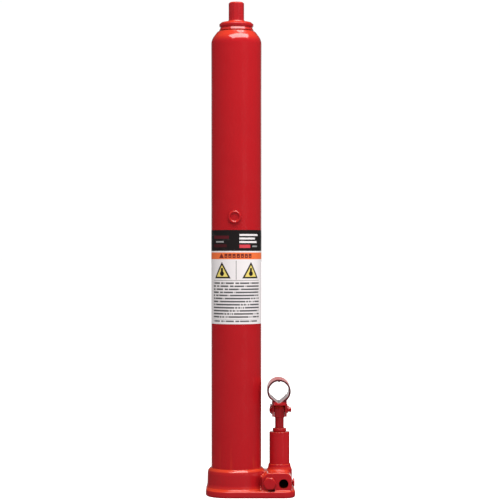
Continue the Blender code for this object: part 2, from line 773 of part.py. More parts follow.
def make_pump_barrel():
    at = (PUMP_X, 0.0, 0.0)
    gland_bore = GLAND_RADIUS - 1.2 * MM
    profile = [
        (PLUNGER_BORE, BARREL_BOTTOM),
        (BARREL_RADIUS, BARREL_BOTTOM),
        (BARREL_RADIUS, BARREL_TOP - 0.8 * MM),
        (BARREL_RADIUS - 0.8 * MM, BARREL_TOP),
        (gland_bore + GAP, BARREL_TOP),
        (gland_bore + GAP, BARREL_TOP - GLAND_DEPTH - 4.0 * MM),
        (PLUNGER_BORE, BARREL_TOP - GLAND_DEPTH - 4.0 * MM),
    ]
    turned("pump_barrel", profile, CAST_RED, 32, at)
    seat = BARREL_SEAT + GAP
    inner = BALL_CUP + 3.0 * MM
    washer = ring(inner, BARREL_RADIUS - 0.4 * MM, seat, seat + BARREL_WASHER)
    turned("barrel_washer", washer, COPPER, 24, at)
    hole = PLUNGER_BORE
    gland_low = BARREL_TOP - GLAND_DEPTH
    top = BARREL_TOP + GLAND_HEIGHT
    gland = [
        (hole, gland_low),
        (gland_bore, gland_low),
        (gland_bore, BARREL_TOP + GAP),
        (GLAND_RADIUS, BARREL_TOP + GAP),
        (GLAND_RADIUS, top - 1.0 * MM),
        (GLAND_RADIUS - 0.8 * MM, top),
        (hole, top),
    ]
    turned("gland_nut", gland, CAST_RED, 24, at)
    packing = ring(hole, gland_bore, gland_low - 3.7 * MM, gland_low - GAP)
    turned("gland_packing", packing, RUBBER, 24, at)


def make_plunger():
    """The pump plunger, with the flat head that the handle socket pins to."""
    at = (PUMP_X, 0.0, PIN_HEIGHT)
    axis = pivot("plunger_axis", at)
    foot = PLUNGER_FOOT - PIN_HEIGHT
    neck = PLUNGER_RADIUS - 1.4 * MM
    shaft = [
        (0.0, foot),
        (PLUNGER_RADIUS - 0.5 * MM, foot),
        (PLUNGER_RADIUS, foot + 1.0 * MM),
        (PLUNGER_RADIUS, foot + 2.0 * MM),
        (neck, foot + 2.0 * MM),
        (neck, foot + 5.0 * MM),
        (PLUNGER_RADIUS, foot + 5.0 * MM),
        (PLUNGER_RADIUS, -EYE_RADIUS),
        (0.0, -EYE_RADIUS),
    ]
    plunger = turned("pump_plunger", shaft, STEEL, 24, at)
    outline = arc((0.0, 0.0), EYE_RADIUS, 0.0, 180.0, 10)
    outline += [(-EYE_RADIUS, -HEAD_DROP), (EYE_RADIUS, -HEAD_DROP)]
    side_at = (PUMP_X - HEAD_WIDTH / 2, 0.0, PIN_HEIGHT)
    head = plate("head_form", outline, HEAD_WIDTH, STEEL, side_at, SIDE_PLATE)
    start = (PUMP_X - 10.0 * MM, 0.0, PIN_HEIGHT)
    bore = PIN_RADIUS + PIN_PLAY
    hole = drilled("head_pin_cutter", bore, start, 20.0 * MM, TO_PUMP_SIDE, 16)
    weld(plunger, [head])
    cut(plunger, [hole])
    seal = ring(neck + GAP, PLUNGER_RADIUS, foot + 2.3 * MM, foot + 4.7 * MM)
    cup = turned("plunger_seal", seal, RUBBER, 20, at)
    pin, clip = make_socket_pin(at)
    carry(axis, [plunger, cup, pin, clip])


def make_socket_pin(at):
    """The pin with a domed head at the left, and its clip at the right."""
    side = EAR_GAP / 2 + SHEET
    seat = -side - GAP
    end = side + 6.0 * MM
    dome = arc((0.0, 0.0), PIN_HEAD + 0.2 * MM, -90.0, 0.0, 4)
    profile = [(x, seat + 0.6 * y) for x, y in dome]
    profile[0] = (0.0, profile[0][1])
    profile += [
        (PIN_RADIUS, seat),
        (PIN_RADIUS, end - 0.6 * MM),
        (PIN_RADIUS - 0.6 * MM, end),
        (0.0, end),
    ]
    pin = turned("socket_pin", profile, CAST_RED, 16, at, TO_PUMP_SIDE)
    start = side + GAP
    clip_ring = ring(PIN_RADIUS + GAP, PIN_HEAD - 0.5 * MM, start, start + CLIP_THICKNESS)
    clip = turned("socket_pin_clip", clip_ring, STEEL, 16, at, TO_PUMP_SIDE)
    return pin, clip


def socket_section():
    """The rolled sheet's section: a ring whose foot is closed between the
    ears by weld, and a hollow whose lower sides meet in a V."""
    centre = (SOCKET_SHIFT, SOCKET_RISE)
    half = 52.0
    turn = (-90.0 + half, 270.0 - half)
    foot = EYE_RADIUS + 1.6 * MM
    side = EAR_GAP / 2 + GAP
    outer = arc(centre, SOCKET_RADIUS, turn[0], turn[1], 24)
    outer += [(-side, foot + 5.0 * MM), (-side, foot), (side, foot), (side, foot + 5.0 * MM)]
    hollow_foot = foot + 1.2 * SHEET
    hollow = arc(centre, SOCKET_RADIUS - SHEET, turn[0], turn[1], 24)
    hollow += [(SOCKET_SHIFT - 1.2 * MM, hollow_foot), (SOCKET_SHIFT + 1.2 * MM, hollow_foot)]
    return outer, hollow


def ear_outline():
    """One ear seen from the side, round under both pivots."""
    back = FULCRUM_SPACING + EYE_RADIUS + 2.5 * MM
    front = -EYE_RADIUS - 3.0 * MM
    top = SOCKET_RISE - 8.2 * MM
    corner = 5.0 * MM
    points = [(front, top)]
    points += arc((front + corner, corner - EAR_DROP), corner, 180.0, 270.0, 4)
    points += arc((back - corner, corner - EAR_DROP), corner, 270.0, 360.0, 4)
    points += [(back, top)]
    return points


def fulcrum_slot():
    """The long hole that lets the ears ride on the fulcrum pin."""
    middle = FULCRUM_SPACING + FULCRUM_PLAY_ALONG
    reach = PIN_RADIUS + PIN_PLAY + FULCRUM_PLAY_ALONG
    rise = PIN_RADIUS + PIN_PLAY + FULCRUM_PLAY_UP
    outline = []
    for step in range(20):
        angle = math.tau * step / 20
        outline.append((middle + reach * math.cos(angle), rise * math.sin(angle)))
    width = EAR_GAP + 4 * SHEET
    at = (PUMP_X - width / 2, 0.0, PIN_HEIGHT)
    return plate("fulcrum_slot_cutter", outline, width, CAST_RED, at, SIDE_PLATE)


def socket_key():
    """The small dimple at the top of the bore that keys the handle."""
    outline = [
        (-1.5 * MM, 0.4 * MM),
        (1.5 * MM, 0.4 * MM),
        (0.4 * MM, -1.5 * MM),
        (-0.4 * MM, -1.5 * MM),
    ]
    crown = PIN_HEIGHT + SOCKET_RISE + SOCKET_RADIUS - SHEET
    at = (PUMP_X + SOCKET_SHIFT, 6.5 * MM - SOCKET_FRONT, crown)
    return plate("key_form", outline, 6.0 * MM, CAST_RED, at, TO_FRONT)


def make_handle_socket():
    at = (PUMP_X, 0.0, PIN_HEIGHT)
    axis = pivot("socket_axis", at)
    outer, inner = socket_section()
    length = SOCKET_FRONT + SOCKET_BACK
    back = (PUMP_X, SOCKET_BACK, PIN_HEIGHT)
    socket = plate("handle_socket", outer, length, CAST_RED, back, TO_FRONT)
    ears = []
    for side, start in (("left", -EAR_GAP / 2 - SHEET), ("right", EAR_GAP / 2)):
        ear_at = (PUMP_X + start, 0.0, PIN_HEIGHT)
        ears.append(plate("ear_form_" + side, ear_outline(), SHEET, CAST_RED, ear_at, SIDE_PLATE))
    weld(socket, ears)
    behind = (PUMP_X, SOCKET_BACK + 10.0 * MM, PIN_HEIGHT)
    hollow = plate("socket_cutter", inner, length + 20.0 * MM, CAST_RED, behind, TO_FRONT)
    width = EAR_GAP + 4 * SHEET
    start = (PUMP_X - width / 2, 0.0, PIN_HEIGHT)
    bore = PIN_RADIUS + PIN_PLAY
    pin_hole = drilled("socket_pin_cutter", bore, start, width, TO_PUMP_SIDE, 16)
    cut(socket, [hollow, pin_hole, fulcrum_slot()])
    weld(socket, [socket_key()])
    carry(axis, [socket])


def link_outline():
    """The link from the side, from its lower eye to its upper one."""
    top_y = FULCRUM_SPACING - LINK_FOOT_BACK
    top_z = PIN_HEIGHT - LINK_FOOT_HEIGHT
    lean = math.degrees(math.atan2(top_z, top_y))
    half = LINK_THICKNESS / 2
    open_angle = math.degrees(math.asin(half / EYE_RADIUS))
    start = lean - 180.0 + open_angle
    upper = arc((top_y, top_z), EYE_RADIUS, start, start + 360.0 - 2 * open_angle, 12)
    start = lean + open_angle
    lower = arc((0.0, 0.0), EYE_RADIUS, start, start + 360.0 - 2 * open_angle, 12)
    return upper + lower


def make_link():
    """The fulcrum link behind the pump, its two pins and their clips."""
    foot = (PUMP_X, LINK_FOOT_BACK, LINK_FOOT_HEIGHT)
    top = (PUMP_X, FULCRUM_SPACING, PIN_HEIGHT)
    axis = pivot("link_axis", foot)
    start = (PUMP_X - LINK_WIDTH / 2, LINK_FOOT_BACK, LINK_FOOT_HEIGHT)
    link = plate("fulcrum_link", link_outline(), LINK_WIDTH, CAST_RED, start, SIDE_PLATE)
    holes = []
    for name, centre, play in (("link_foot_cutter", foot, PIN_PLAY), ("link_top_cutter", top, GAP)):
        hole_at = (PUMP_X - 10.0 * MM, centre[1], centre[2])
        holes.append(drilled(name, PIN_RADIUS + play, hole_at, 20.0 * MM, TO_PUMP_SIDE, 16))
    cut(link, holes)
    side = EAR_GAP / 2 + SHEET
    pin = headed_pin("fulcrum_pin", side, top)
    eye = PIN_RADIUS + GAP
    clip_at = side + GAP
    clip_ring = ring(eye, PIN_HEAD, clip_at, clip_at + CLIP_THICKNESS)
    clip = turned("fulcrum_pin_clip", clip_ring, STEEL, 16, top, TO_PUMP_SIDE)
    spacer = ring(eye, EYE_RADIUS - 0.5 * MM, LINK_WIDTH / 2 + GAP, EAR_GAP / 2 - GAP)
    right = turned("link_spacer_right", spacer, STEEL, 16, top, TO_PUMP_SIDE)
    mirrored = [(radius, -height) for radius, height in spacer]
    left = turned("link_spacer_left", mirrored, STEEL, 16, top, TO_PUMP_SIDE)
    carry(axis, [link, pin, clip, right, left])
    lug_side = LINK_WIDTH / 2 + GAP + LUG_THICKNESS
    headed_pin("link_base_pin", lug_side, foot)
    clip_at = lug_side + GAP
    base_clip = ring(eye, PIN_HEAD - 0.5 * MM, clip_at, clip_at + CLIP_THICKNESS)
    turned("link_base_pin_clip", base_clip, STEEL, 16, foot, TO_PUMP_SIDE)


def headed_pin(name, side, at):
    """A clevis pin along X: a flat head at the left, a clip's room at right."""
    end = side + 3.5 * MM
    profile = [
        (0.0, -side - 2.0 * MM - GAP),
        (PIN_HEAD - 0.6 * MM, -side - 2.0 * MM - GAP),
        (PIN_HEAD, -side - 1.2 * MM),
        (PIN_HEAD, -side - GAP),
        (PIN_RADIUS, -side - GAP),
        (PIN_RADIUS, end - 0.6 * MM),
        (PIN_RADIUS - 0.6 * MM, end),
        (0.0, end),
    ]
    return turned(name, profile, CAST_RED, 16, at, TO_PUMP_SIDE)


def make_release_valve():
    """The release ball and the slotted spindle that holds it on its seat."""
    away = math.sqrt((RELEASE_BALL + GAP) ** 2 - RELEASE_HOLE ** 2)
    centre = RELEASE_SEAT + away
    axis = pivot("release_axis", (RELEASE_X, -centre, RELEASE_HEIGHT))
    stone = ball("release_ball", RELEASE_BALL, (RELEASE_X, -centre, RELEASE_HEIGHT))
    tip = centre + RELEASE_BALL + GAP
    thread = tip + 1.0 * MM
    head = RECESS_FLOOR + GAP
    bore = RELEASE_BORE - GAP
    profile = [
        (0.0, tip),
        (2.0 * MM, tip),
        (2.0 * MM, thread),
        (bore, thread + 0.6 * MM),
        (bore, head - 3.4 * MM),
        (bore - 1.4 * MM, head - 3.4 * MM),
        (bore - 1.4 * MM, head - 1.0 * MM),
        (bore, head - 1.0 * MM),
        (bore, head),
        (RELEASE_RECESS - 0.5 * MM, head),
        (RELEASE_RECESS - 0.5 * MM, head + 2.4 * MM),
        (RELEASE_RECESS - 1.1 * MM, head + 3.0 * MM),
        (0.0, head + 3.0 * MM),
    ]
    at = (RELEASE_X, 0.0, RELEASE_HEIGHT)
    spindle = turned("release_spindle", profile, STEEL, 20, at, TO_FRONT)
    outline = [
        (-7.0 * MM, -0.8 * MM),
        (7.0 * MM, -0.8 * MM),
        (7.0 * MM, 0.8 * MM),
        (-7.0 * MM, 0.8 * MM),
    ]
    face = (RELEASE_X, -head - 1.4 * MM, RELEASE_HEIGHT)
    cut(spindle, [plate("spindle_slot_cutter", outline, 4.0 * MM, STEEL, face, TO_FRONT)])
    middle = bore - 0.65 * MM
    depth = head - 2.2 * MM
    seal = o_ring("release_o_ring", middle, 0.5 * MM, at, TO_FRONT, depth, 20)
    carry(axis, [stone, spindle, seal])


def make_relief_valve():
    """The overload valve: ball, spring, adjusting screw and hex cap."""
    at = (RELIEF_X, 0.0, RELIEF_HEIGHT)
    away = math.sqrt((RELIEF_BALL + GAP) ** 2 - RELIEF_HOLE ** 2)
    centre = RELEASE_SEAT + away
    ball("relief_ball", RELIEF_BALL, (RELIEF_X, -centre, RELIEF_HEIGHT))
    spring_low = centre + RELIEF_BALL + GAP
    spring_high = spring_low + SPRING_LENGTH
    spring("relief_spring", spring_low, spring_high, at, TO_FRONT)
    screw_low = spring_high + GAP
    thread = RELIEF_BORE - GAP
    screw = rod(thread, screw_low, screw_low + 4.0 * MM)
    turned("relief_screw", screw, STEEL, 16, at, TO_FRONT)
    stem_low = screw_low + 4.0 * MM + GAP
    face = BLOCK_FACE + GAP
    top = face + 5.0 * MM
    stem_rod = rod(thread, stem_low, face + 1.0 * MM)
    stem = turned("relief_stem_form", stem_rod, CAST_RED, 16, at, TO_FRONT)
    corner = RELIEF_HEX / math.cos(math.pi / 6)
    hexagon = [
        (0.0, face),
        (corner, face),
        (corner, top - 1.2 * MM),
        (RELIEF_HEX - 1.0 * MM, top),
        (0.0, top),
    ]
    cap = turned("relief_cap", hexagon, CAST_RED, 6, at, TO_FRONT)
    weld(cap, [stem])


def make_side_plug():
    """The plug that closes the suction gallery, and the buried grub plugs."""
    at = (0.0, 0.0, SUCTION_HEIGHT)
    mouth = PUMP_X + BOSS_RADIUS - 5.0 * MM
    face = PUMP_X + BOSS_RADIUS + 1.0 * MM
    profile = [
        (0.0, mouth + GAP),
        (SIDE_PLUG_BORE - GAP, mouth + GAP),
        (SIDE_PLUG_BORE - GAP, face),
        (5.3 * MM, face),
        (5.3 * MM, face + 1.4 * MM),
        (4.5 * MM, face + 2.2 * MM),
        (0.0, face + 2.2 * MM),
    ]
    turned("side_plug", profile, CAST_RED, 20, at, TO_PUMP_SIDE)
    for number, (row, _start) in enumerate(gallery_rows()):
        start = gallery_plug_start(row) + GAP
        grub = rod(GALLERY_PLUG_BORE - GAP, start, start + GALLERY_PLUG_LENGTH)
        name = "gallery_plug_%d" % (number + 1)
        turned(name, grub, STEEL, 12, (0.0, -row, PASSAGE_HEIGHT), TO_PUMP_SIDE)


def make_check_valves():
    """The inlet and delivery balls, their cages and the delivery spring."""
    away = math.sqrt((INLET_BALL + GAP) ** 2 - INLET_HOLE ** 2)
    ball("inlet_ball", INLET_BALL, (PUMP_X, 0.0, TUBE_SEAT + away))
    seat = BARREL_SEAT + GAP
    cage = ring(1.5 * MM, BALL_CUP + 2.4 * MM, seat, seat + 1.3 * MM)
    turned("inlet_cage", cage, STEEL, 16, (PUMP_X, 0.0, 0.0))
    away = math.sqrt((DELIVERY_BALL + GAP) ** 2 - DELIVERY_HOLE ** 2)
    height = PASSAGE_HEIGHT + DELIVERY_SEAT_RISE + away
    centre = (0.0, -PRESSURE_ROW, 0.0)
    ball("delivery_ball", DELIVERY_BALL, (0.0, -PRESSURE_ROW, height))
    low = height + DELIVERY_BALL + GAP
    high = low + SPRING_LENGTH
    spring("delivery_spring", low, high, centre)
    floor = CYLINDER_SEAT + GAP
    wall = DELIVERY_BALL + 0.7 * MM
    top = high + GAP + 1.2 * MM
    profile = [
        (wall, floor),
        (9.0 * MM, floor),
        (9.0 * MM, floor + 1.2 * MM),
        (wall + 1.0 * MM, floor + 1.2 * MM),
        (wall + 1.0 * MM, top),
        (1.4 * MM, top),
        (1.4 * MM, top - 1.2 * MM),
        (wall, top - 1.2 * MM),
    ]
    turned("delivery_cage", profile, STEEL, 20, centre)
    gauze = ring(CYLINDER_RING + GAP, TUBE_INNER - GAP, TUBE_SEAT + GAP, TUBE_SEAT + 3 * GAP)
    turned("suction_strainer", gauze, BRONZE, 32)


def main():
    clear_scene()
    make_base()
    make_tubes()
    make_top_nut()
    make_ram()
    make_filler_plug()
    make_label()
    make_pump_barrel()
    make_plunger()
    make_handle_socket()
    make_link()
    make_release_valve()
    make_relief_valve()
    make_side_plug()
    make_check_valves()


main()
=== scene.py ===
# %% [markdown]
# # A long-ram bottle jack, dressed for its portrait
# The mechanism of this hydraulic jack is already modelled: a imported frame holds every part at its
# real size and place. This lesson gives the parts that show a finer surface and a proper finish.
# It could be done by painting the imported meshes, but they are coarse, so each visible part is made
# again from the frame's own measurements, and the hidden parts only get better materials.

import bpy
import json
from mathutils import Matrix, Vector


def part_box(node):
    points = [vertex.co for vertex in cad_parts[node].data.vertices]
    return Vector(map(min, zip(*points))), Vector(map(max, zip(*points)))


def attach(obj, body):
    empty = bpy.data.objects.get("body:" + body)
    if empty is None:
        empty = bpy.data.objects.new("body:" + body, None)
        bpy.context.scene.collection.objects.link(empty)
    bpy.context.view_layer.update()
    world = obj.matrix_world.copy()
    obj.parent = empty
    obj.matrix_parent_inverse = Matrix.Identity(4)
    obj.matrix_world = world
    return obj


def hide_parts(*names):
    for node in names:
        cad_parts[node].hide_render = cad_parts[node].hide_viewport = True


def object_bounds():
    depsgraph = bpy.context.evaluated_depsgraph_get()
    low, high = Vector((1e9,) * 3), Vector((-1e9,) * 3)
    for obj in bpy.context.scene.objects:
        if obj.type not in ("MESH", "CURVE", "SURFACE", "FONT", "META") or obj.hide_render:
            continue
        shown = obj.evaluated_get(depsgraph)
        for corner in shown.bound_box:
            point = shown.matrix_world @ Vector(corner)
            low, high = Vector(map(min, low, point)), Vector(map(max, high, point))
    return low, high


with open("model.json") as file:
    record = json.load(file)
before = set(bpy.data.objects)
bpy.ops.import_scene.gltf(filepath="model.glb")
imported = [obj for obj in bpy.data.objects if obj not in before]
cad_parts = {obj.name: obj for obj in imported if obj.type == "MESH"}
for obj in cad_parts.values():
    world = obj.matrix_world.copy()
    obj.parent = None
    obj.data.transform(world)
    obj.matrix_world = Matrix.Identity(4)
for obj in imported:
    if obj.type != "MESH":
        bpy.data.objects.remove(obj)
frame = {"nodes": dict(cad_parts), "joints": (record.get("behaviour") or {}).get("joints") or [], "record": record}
cad_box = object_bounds()
print("the frame spans", [round(value, 4) for corner in cad_box for value in corner])

# %% Tools
import json
import math

import bmesh
import bpy
from mathutils import Matrix, Vector

MM = 0.001
ORIGIN = (0.0, 0.0, 0.0)
UPRIGHT = (0.0, 0.0, 0.0)
TO_FRONT = (math.pi / 2, 0.0, 0.0)
TO_PUMP_SIDE = (0.0, math.pi / 2, 0.0)
SIDE_PLATE = (math.pi / 2, 0.0, math.pi / 2)
GAP = 0.3 * MM

bpy.context.scene.view_settings.view_transform = "Standard"

# %% [markdown]
# ## Measuring the frame
# Nothing here is placed by eye.


# %% Measures
def radius_of(node):
    low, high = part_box(node)
    return (high.x - low.x) / 2


def centre_of(node):
    low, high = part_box(node)
    return (low + high) / 2


tube_low, tube_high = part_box("reservoir_tube")
base_low, base_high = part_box("base")
barrel_low, barrel_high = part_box("pump_barrel")
label_low, label_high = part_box("label")
joints = {joint["name"]: joint for joint in frame["joints"]}

TUBE_RADIUS = radius_of("reservoir_tube")
TUBE_WALL = 2.5 * MM
BARREL_RADIUS = radius_of("pump_barrel")
PUMP_X = centre_of("pump_barrel").x
PIN = Vector(joints["socket_swing"]["pos_m"])
LINK_FOOT = Vector(joints["link_sway"]["pos_m"])
COLLAR_BORE = TUBE_RADIUS + GAP
COLLAR_RADIUS = TUBE_RADIUS + 4.25 * MM
BOSS_RADIUS = BARREL_RADIUS + GAP + 2.85 * MM
FLANGE_TOP = 9.0 * MM
COLLAR_TOP = 34.0 * MM
PIN_RADIUS = 3.0 * MM
print("pump axis at x =", round(PUMP_X, 4), "and the socket pin at", [round(v, 4) for v in PIN])

# %% [markdown]
# ## Turning, cutting and softening
# A jack is lathe work, sheet metal and one casting, so three tools make all of it. `turned` spins a
# profile, as a lathe does. `plate` pushes an outline out, as a press does. `soften` gives a rough
# union of blocks the skin of a casting: a voxel remesh and some smoothing fillet every corner,
# inside and out, which a bevel can't do where many shapes meet.


# %% Outlines with rounded corners
def filleted(points, closed=False, steps=4):
    """Rounds each corner whose third number is a fillet radius."""
    outline = []
    last = len(points) - 1
    for index, point in enumerate(points):
        here = Vector(point[:2])
        ends = not closed and index in (0, last)
        if len(point) < 3 or ends:
            outline.append(here)
            continue
        back = (Vector(points[index - 1][:2]) - here).normalized()
        ahead = (Vector(points[(index + 1) % (last + 1)][:2]) - here).normalized()
        half = back.angle(ahead) / 2
        centre = here + (back + ahead).normalized() * point[2] / math.sin(half)
        first = here + back * point[2] / math.tan(half) - centre
        final = here + ahead * point[2] / math.tan(half) - centre
        sweep = math.atan2(first.x * final.y - first.y * final.x, first.dot(final))
        for step in range(steps + 1):
            outline.append(centre + Matrix.Rotation(sweep * step / steps, 2) @ first)
    return outline


def arc(centre, radius, start, end, steps):
    """Points on an arc between two angles in degrees."""
    turns = [math.radians(start + (end - start) * step / steps) for step in range(steps + 1)]
    return [(centre[0] + radius * math.cos(t), centre[1] + radius * math.sin(t)) for t in turns]


def rectangle(left, right, low, high):
    return [(left, low), (right, low), (right, high), (left, high)]


# %% Making mesh objects
def as_object(name, bm, at=ORIGIN, turn=UPRIGHT, sharp=38.0):
    """Stores the mesh in world place, so its object sits at the origin."""
    bmesh.ops.remove_doubles(bm, verts=bm.verts[:], dist=1e-7)
    bmesh.ops.recalc_face_normals(bm, faces=bm.faces[:])
    swing = Matrix.Identity(4)
    for angle, axis in zip(turn, "XYZ"):
        swing = Matrix.Rotation(angle, 4, axis) @ swing
    bm.transform(Matrix.Translation(at) @ swing)
    mesh = bpy.data.meshes.new(name)
    bm.to_mesh(mesh)
    bm.free()
    mesh.shade_smooth()
    mesh.set_sharp_from_angle(angle=math.radians(sharp))
    thing = bpy.data.objects.new(name, mesh)
    bpy.context.scene.collection.objects.link(thing)
    return thing


def turned(name, profile, sides=96, at=ORIGIN, turn=UPRIGHT, steps=4):
    """Spins (radius, height, fillet) points round the Z axis."""
    closed = profile[0][0] > 0.0
    outline = filleted(profile, closed, steps)
    bm = bmesh.new()
    verts = [bm.verts.new((point[0], 0.0, point[1])) for point in outline]
    edges = [bm.edges.new(pair) for pair in zip(verts, verts[1:])]
    if closed:
        edges.append(bm.edges.new((verts[-1], verts[0])))
    bmesh.ops.spin(bm, geom=verts + edges, cent=ORIGIN, axis=(0, 0, 1), angle=math.tau, steps=sides)
    return as_object(name, bm, at, turn)


def plate(name, outline, thickness, at=ORIGIN, turn=UPRIGHT):
    """Pushes an outline out along its own Z axis."""
    bm = bmesh.new()
    face = bm.faces.new([bm.verts.new((point[0], point[1], 0.0)) for point in outline])
    pushed = bmesh.ops.extrude_face_region(bm, geom=[face])
    moved = [item for item in pushed["geom"] if isinstance(item, bmesh.types.BMVert)]
    bmesh.ops.translate(bm, verts=moved, vec=(0.0, 0.0, thickness))
    return as_object(name, bm, at, turn)


def hole(radius, start, length, turn=UPRIGHT, sides=48):
    return turned("hole", rectangle(0.0, radius, 0.0, length), sides, start, turn)


# %% Boolean steps, and a result that is kept as a plain mesh
def frozen(thing, sharp=38.0):
    """Keeps what the modifiers make, and drops the modifiers."""
    bpy.context.view_layer.update()
    seen = thing.evaluated_get(bpy.context.evaluated_depsgraph_get())
    mesh = bpy.data.meshes.new_from_object(seen)
    thing.modifiers.clear()
    thing.data = mesh
    mesh.shade_smooth()
    mesh.set_sharp_from_angle(angle=math.radians(sharp))
    return thing


def combined(thing, others, operation):
    group = bpy.data.collections.new(operation)
    for other in others:
        group.objects.link(other)
    step = thing.modifiers.new(operation, "BOOLEAN")
    step.operation = operation
    step.operand_type = "COLLECTION"
    step.collection = group
    frozen(thing)
    for other in others:
        bpy.data.objects.remove(other)
    bpy.data.collections.remove(group)
    return thing


def cut(thing, *holes):
    return combined(thing, holes, "DIFFERENCE")


def welded(thing, *others):
    return combined(thing, others, "UNION")


def soften(thing, voxel, passes):
    """A casting's skin: even quads, then every corner eased."""
    remesh = thing.modifiers.new("skin", "REMESH")
    remesh.mode = "VOXEL"
    remesh.voxel_size = voxel
    ease = thing.modifiers.new("ease", "SMOOTH")
    ease.factor = 0.5
    ease.iterations = passes
    return frozen(thing, 60.0)


def bevelled(thing, width, segments=3, angle=30.0):
    edge = thing.modifiers.new("edge", "BEVEL")
    edge.width = width
    edge.segments = segments
    edge.limit_method = "ANGLE"
    edge.angle_limit = math.radians(angle)
    edge.harden_normals = False
    return frozen(thing, 50.0)


# %% [markdown]
# ## Shader maths that reads like algebra
# Wires soon hide the idea of a node tree. `Signal` wraps one socket and lends it the signs of
# arithmetic, so `1 - mask` adds its own Math node. Colours go through Mix nodes, because a Math
# node would turn them grey.


# %% Signals and finishes
def feed(tree, value, socket):
    """Links a signal, or sets a number or a colour, which is opaque."""
    if isinstance(value, Signal):
        tree.links.new(value.output, socket)
    else:
        socket.default_value = (*value, 1.0) if socket.type == "RGBA" else value


class Signal:
    """One output socket that can be added, scaled and compared."""

    def __init__(self, tree, output):
        self.tree = tree
        self.output = output

    def math(self, operation, other=0.0, swapped=False):
        node = self.tree.nodes.new("ShaderNodeMath")
        node.operation = operation
        pair = (other, self) if swapped else (self, other)
        for socket, value in zip(node.inputs, pair):
            feed(self.tree, value, socket)
        return Signal(self.tree, node.outputs[0])

    def __add__(self, other):
        return self.math("ADD", other)

    def __sub__(self, other):
        return self.math("SUBTRACT", other)

    def __rsub__(self, other):
        return self.math("SUBTRACT", other, swapped=True)

    def __mul__(self, other):
        return self.math("MULTIPLY", other)

    def __truediv__(self, other):
        return self.math("DIVIDE", other)

    def __pow__(self, other):
        return self.math("POWER", other)

    def __lt__(self, other):
        return self.math("LESS_THAN", other)

    def __gt__(self, other):
        return self.math("GREATER_THAN", other)

    def __abs__(self):
        return self.math("ABSOLUTE")

    __radd__ = __add__
    __rmul__ = __mul__

    def floor(self):
        return self.math("FLOOR")


class Graph:
    """A node tree, with one way to add a node and its links."""

    def __init__(self, tree):
        self.tree = tree

    def node(self, kind, settings=None, sockets=None, output=0):
        node = self.tree.nodes.new(kind)
        for key, value in (settings or {}).items():
            setattr(node, key, value)
        for key, value in (sockets or {}).items():
            entry = next((s for s in node.inputs if s.identifier == key), None) or node.inputs[key]
            feed(self.tree, value, entry)
        return Signal(self.tree, node.outputs[output])

    def ramp(self, value, low, high, kind="LINEAR"):
        sockets = {"Value": value, "From Min": low, "From Max": high}
        return self.node("ShaderNodeMapRange", {"interpolation_type": kind}, sockets)

    def smooth(self, value, low, high):
        return self.ramp(value, low, high, "SMOOTHSTEP")

    def parts(self, vector):
        """The three coordinates of a vector, each as a signal."""
        split = self.node("ShaderNodeSeparateXYZ", None, {"Vector": vector}).output.node
        return [Signal(self.tree, socket) for socket in split.outputs]


class Finish(Graph):
    """A Principled material and the nodes that feed it."""

    def __init__(self, name):
        self.material = bpy.data.materials.new(name)
        self.material.use_nodes = True
        super().__init__(self.material.node_tree)
        self.shader = self.tree.nodes["Principled BSDF"]

    def paint(self):
        """The colour that the shader has so far."""
        return Signal(self.tree, self.shader.inputs["Base Color"].links[0].from_socket)

    def place(self):
        """Where a point lies on the part at rest, in metres."""
        return self.node("ShaderNodeTexCoord", output=3)

    def noise(self, scale, detail=3.0, stretch=(1.0, 1.0, 1.0), roughness=0.5):
        sides = {"Vector": self.place(), "Vector_001": stretch}
        spread = self.node("ShaderNodeVectorMath", {"operation": "MULTIPLY"}, sides)
        sockets = {"Vector": spread, "Scale": scale, "Detail": detail, "Roughness": roughness}
        return self.node("ShaderNodeTexNoise", {"noise_dimensions": "3D"}, sockets)

    def mix(self, factor, first, second):
        sockets = {"Factor_Float": factor, "A_Color": first, "B_Color": second}
        mixed = self.node("ShaderNodeMix", {"data_type": "RGBA"}, sockets)
        colour = next(s for s in mixed.output.node.outputs if s.identifier == "Result_Color")
        return Signal(self.tree, colour)

    def facing_up(self, low, high):
        """How far the surface looks upward at rest."""
        normal = self.node("ShaderNodeTexCoord", output=1)
        return self.smooth(self.parts(normal)[2], low, high)

    def axes(self):
        return self.parts(self.place())

    def relief(self, height, strength, distance):
        sockets = {"Height": height, "Strength": strength, "Distance": distance}
        self.set("Normal", self.node("ShaderNodeBump", None, sockets))

    def set(self, socket, value):
        feed(self.tree, value, self.shader.inputs[socket])


# %% [markdown]
# ## Red enamel
# The whole jack is sprayed in one glossy red. Real enamel is never one flat colour: it is deeper
# where it pooled, and it swells like orange peel. Faces that look up are painted warmer, a painted
# highlight of the lamp overhead. A sand casting also prints its grain through the paint, so the
# grain's size and depth are arguments, and one recipe serves the tube, the casting and the small parts.

# %% Enamel
RED = (0.405, 0.0092, 0.0135)
DEEP_RED = (0.330, 0.0060, 0.0100)
LIGHT_RED = (0.560, 0.0200, 0.0180)
# The orange below is painted light: the glow of the lamp overhead, and its reflections low on the tube.
PAINTED_LIGHT_ORANGE = (0.560, 0.0410, 0.0150)


def enamel_colour(finish, grain_scale, painted_top_light):
    """Pooled paint is deeper, specks are lighter, and faces that look up get a warmer painted highlight of the
    lamp overhead.
    """
    pooled = finish.smooth(finish.noise(26.0, 2.0), 0.42, 0.75)
    colour = finish.mix(pooled * 0.20, RED, DEEP_RED)
    thin = finish.smooth(finish.noise(grain_scale * 0.2, 4.0), 0.55, 0.8)
    colour = finish.mix(thin * 0.12, colour, LIGHT_RED)
    # Painted highlight: faces that look up are mixed towards orange, as if lit by the lamp overhead.
    return finish.mix(finish.facing_up(0.10, 0.75) * painted_top_light, colour, PAINTED_LIGHT_ORANGE)
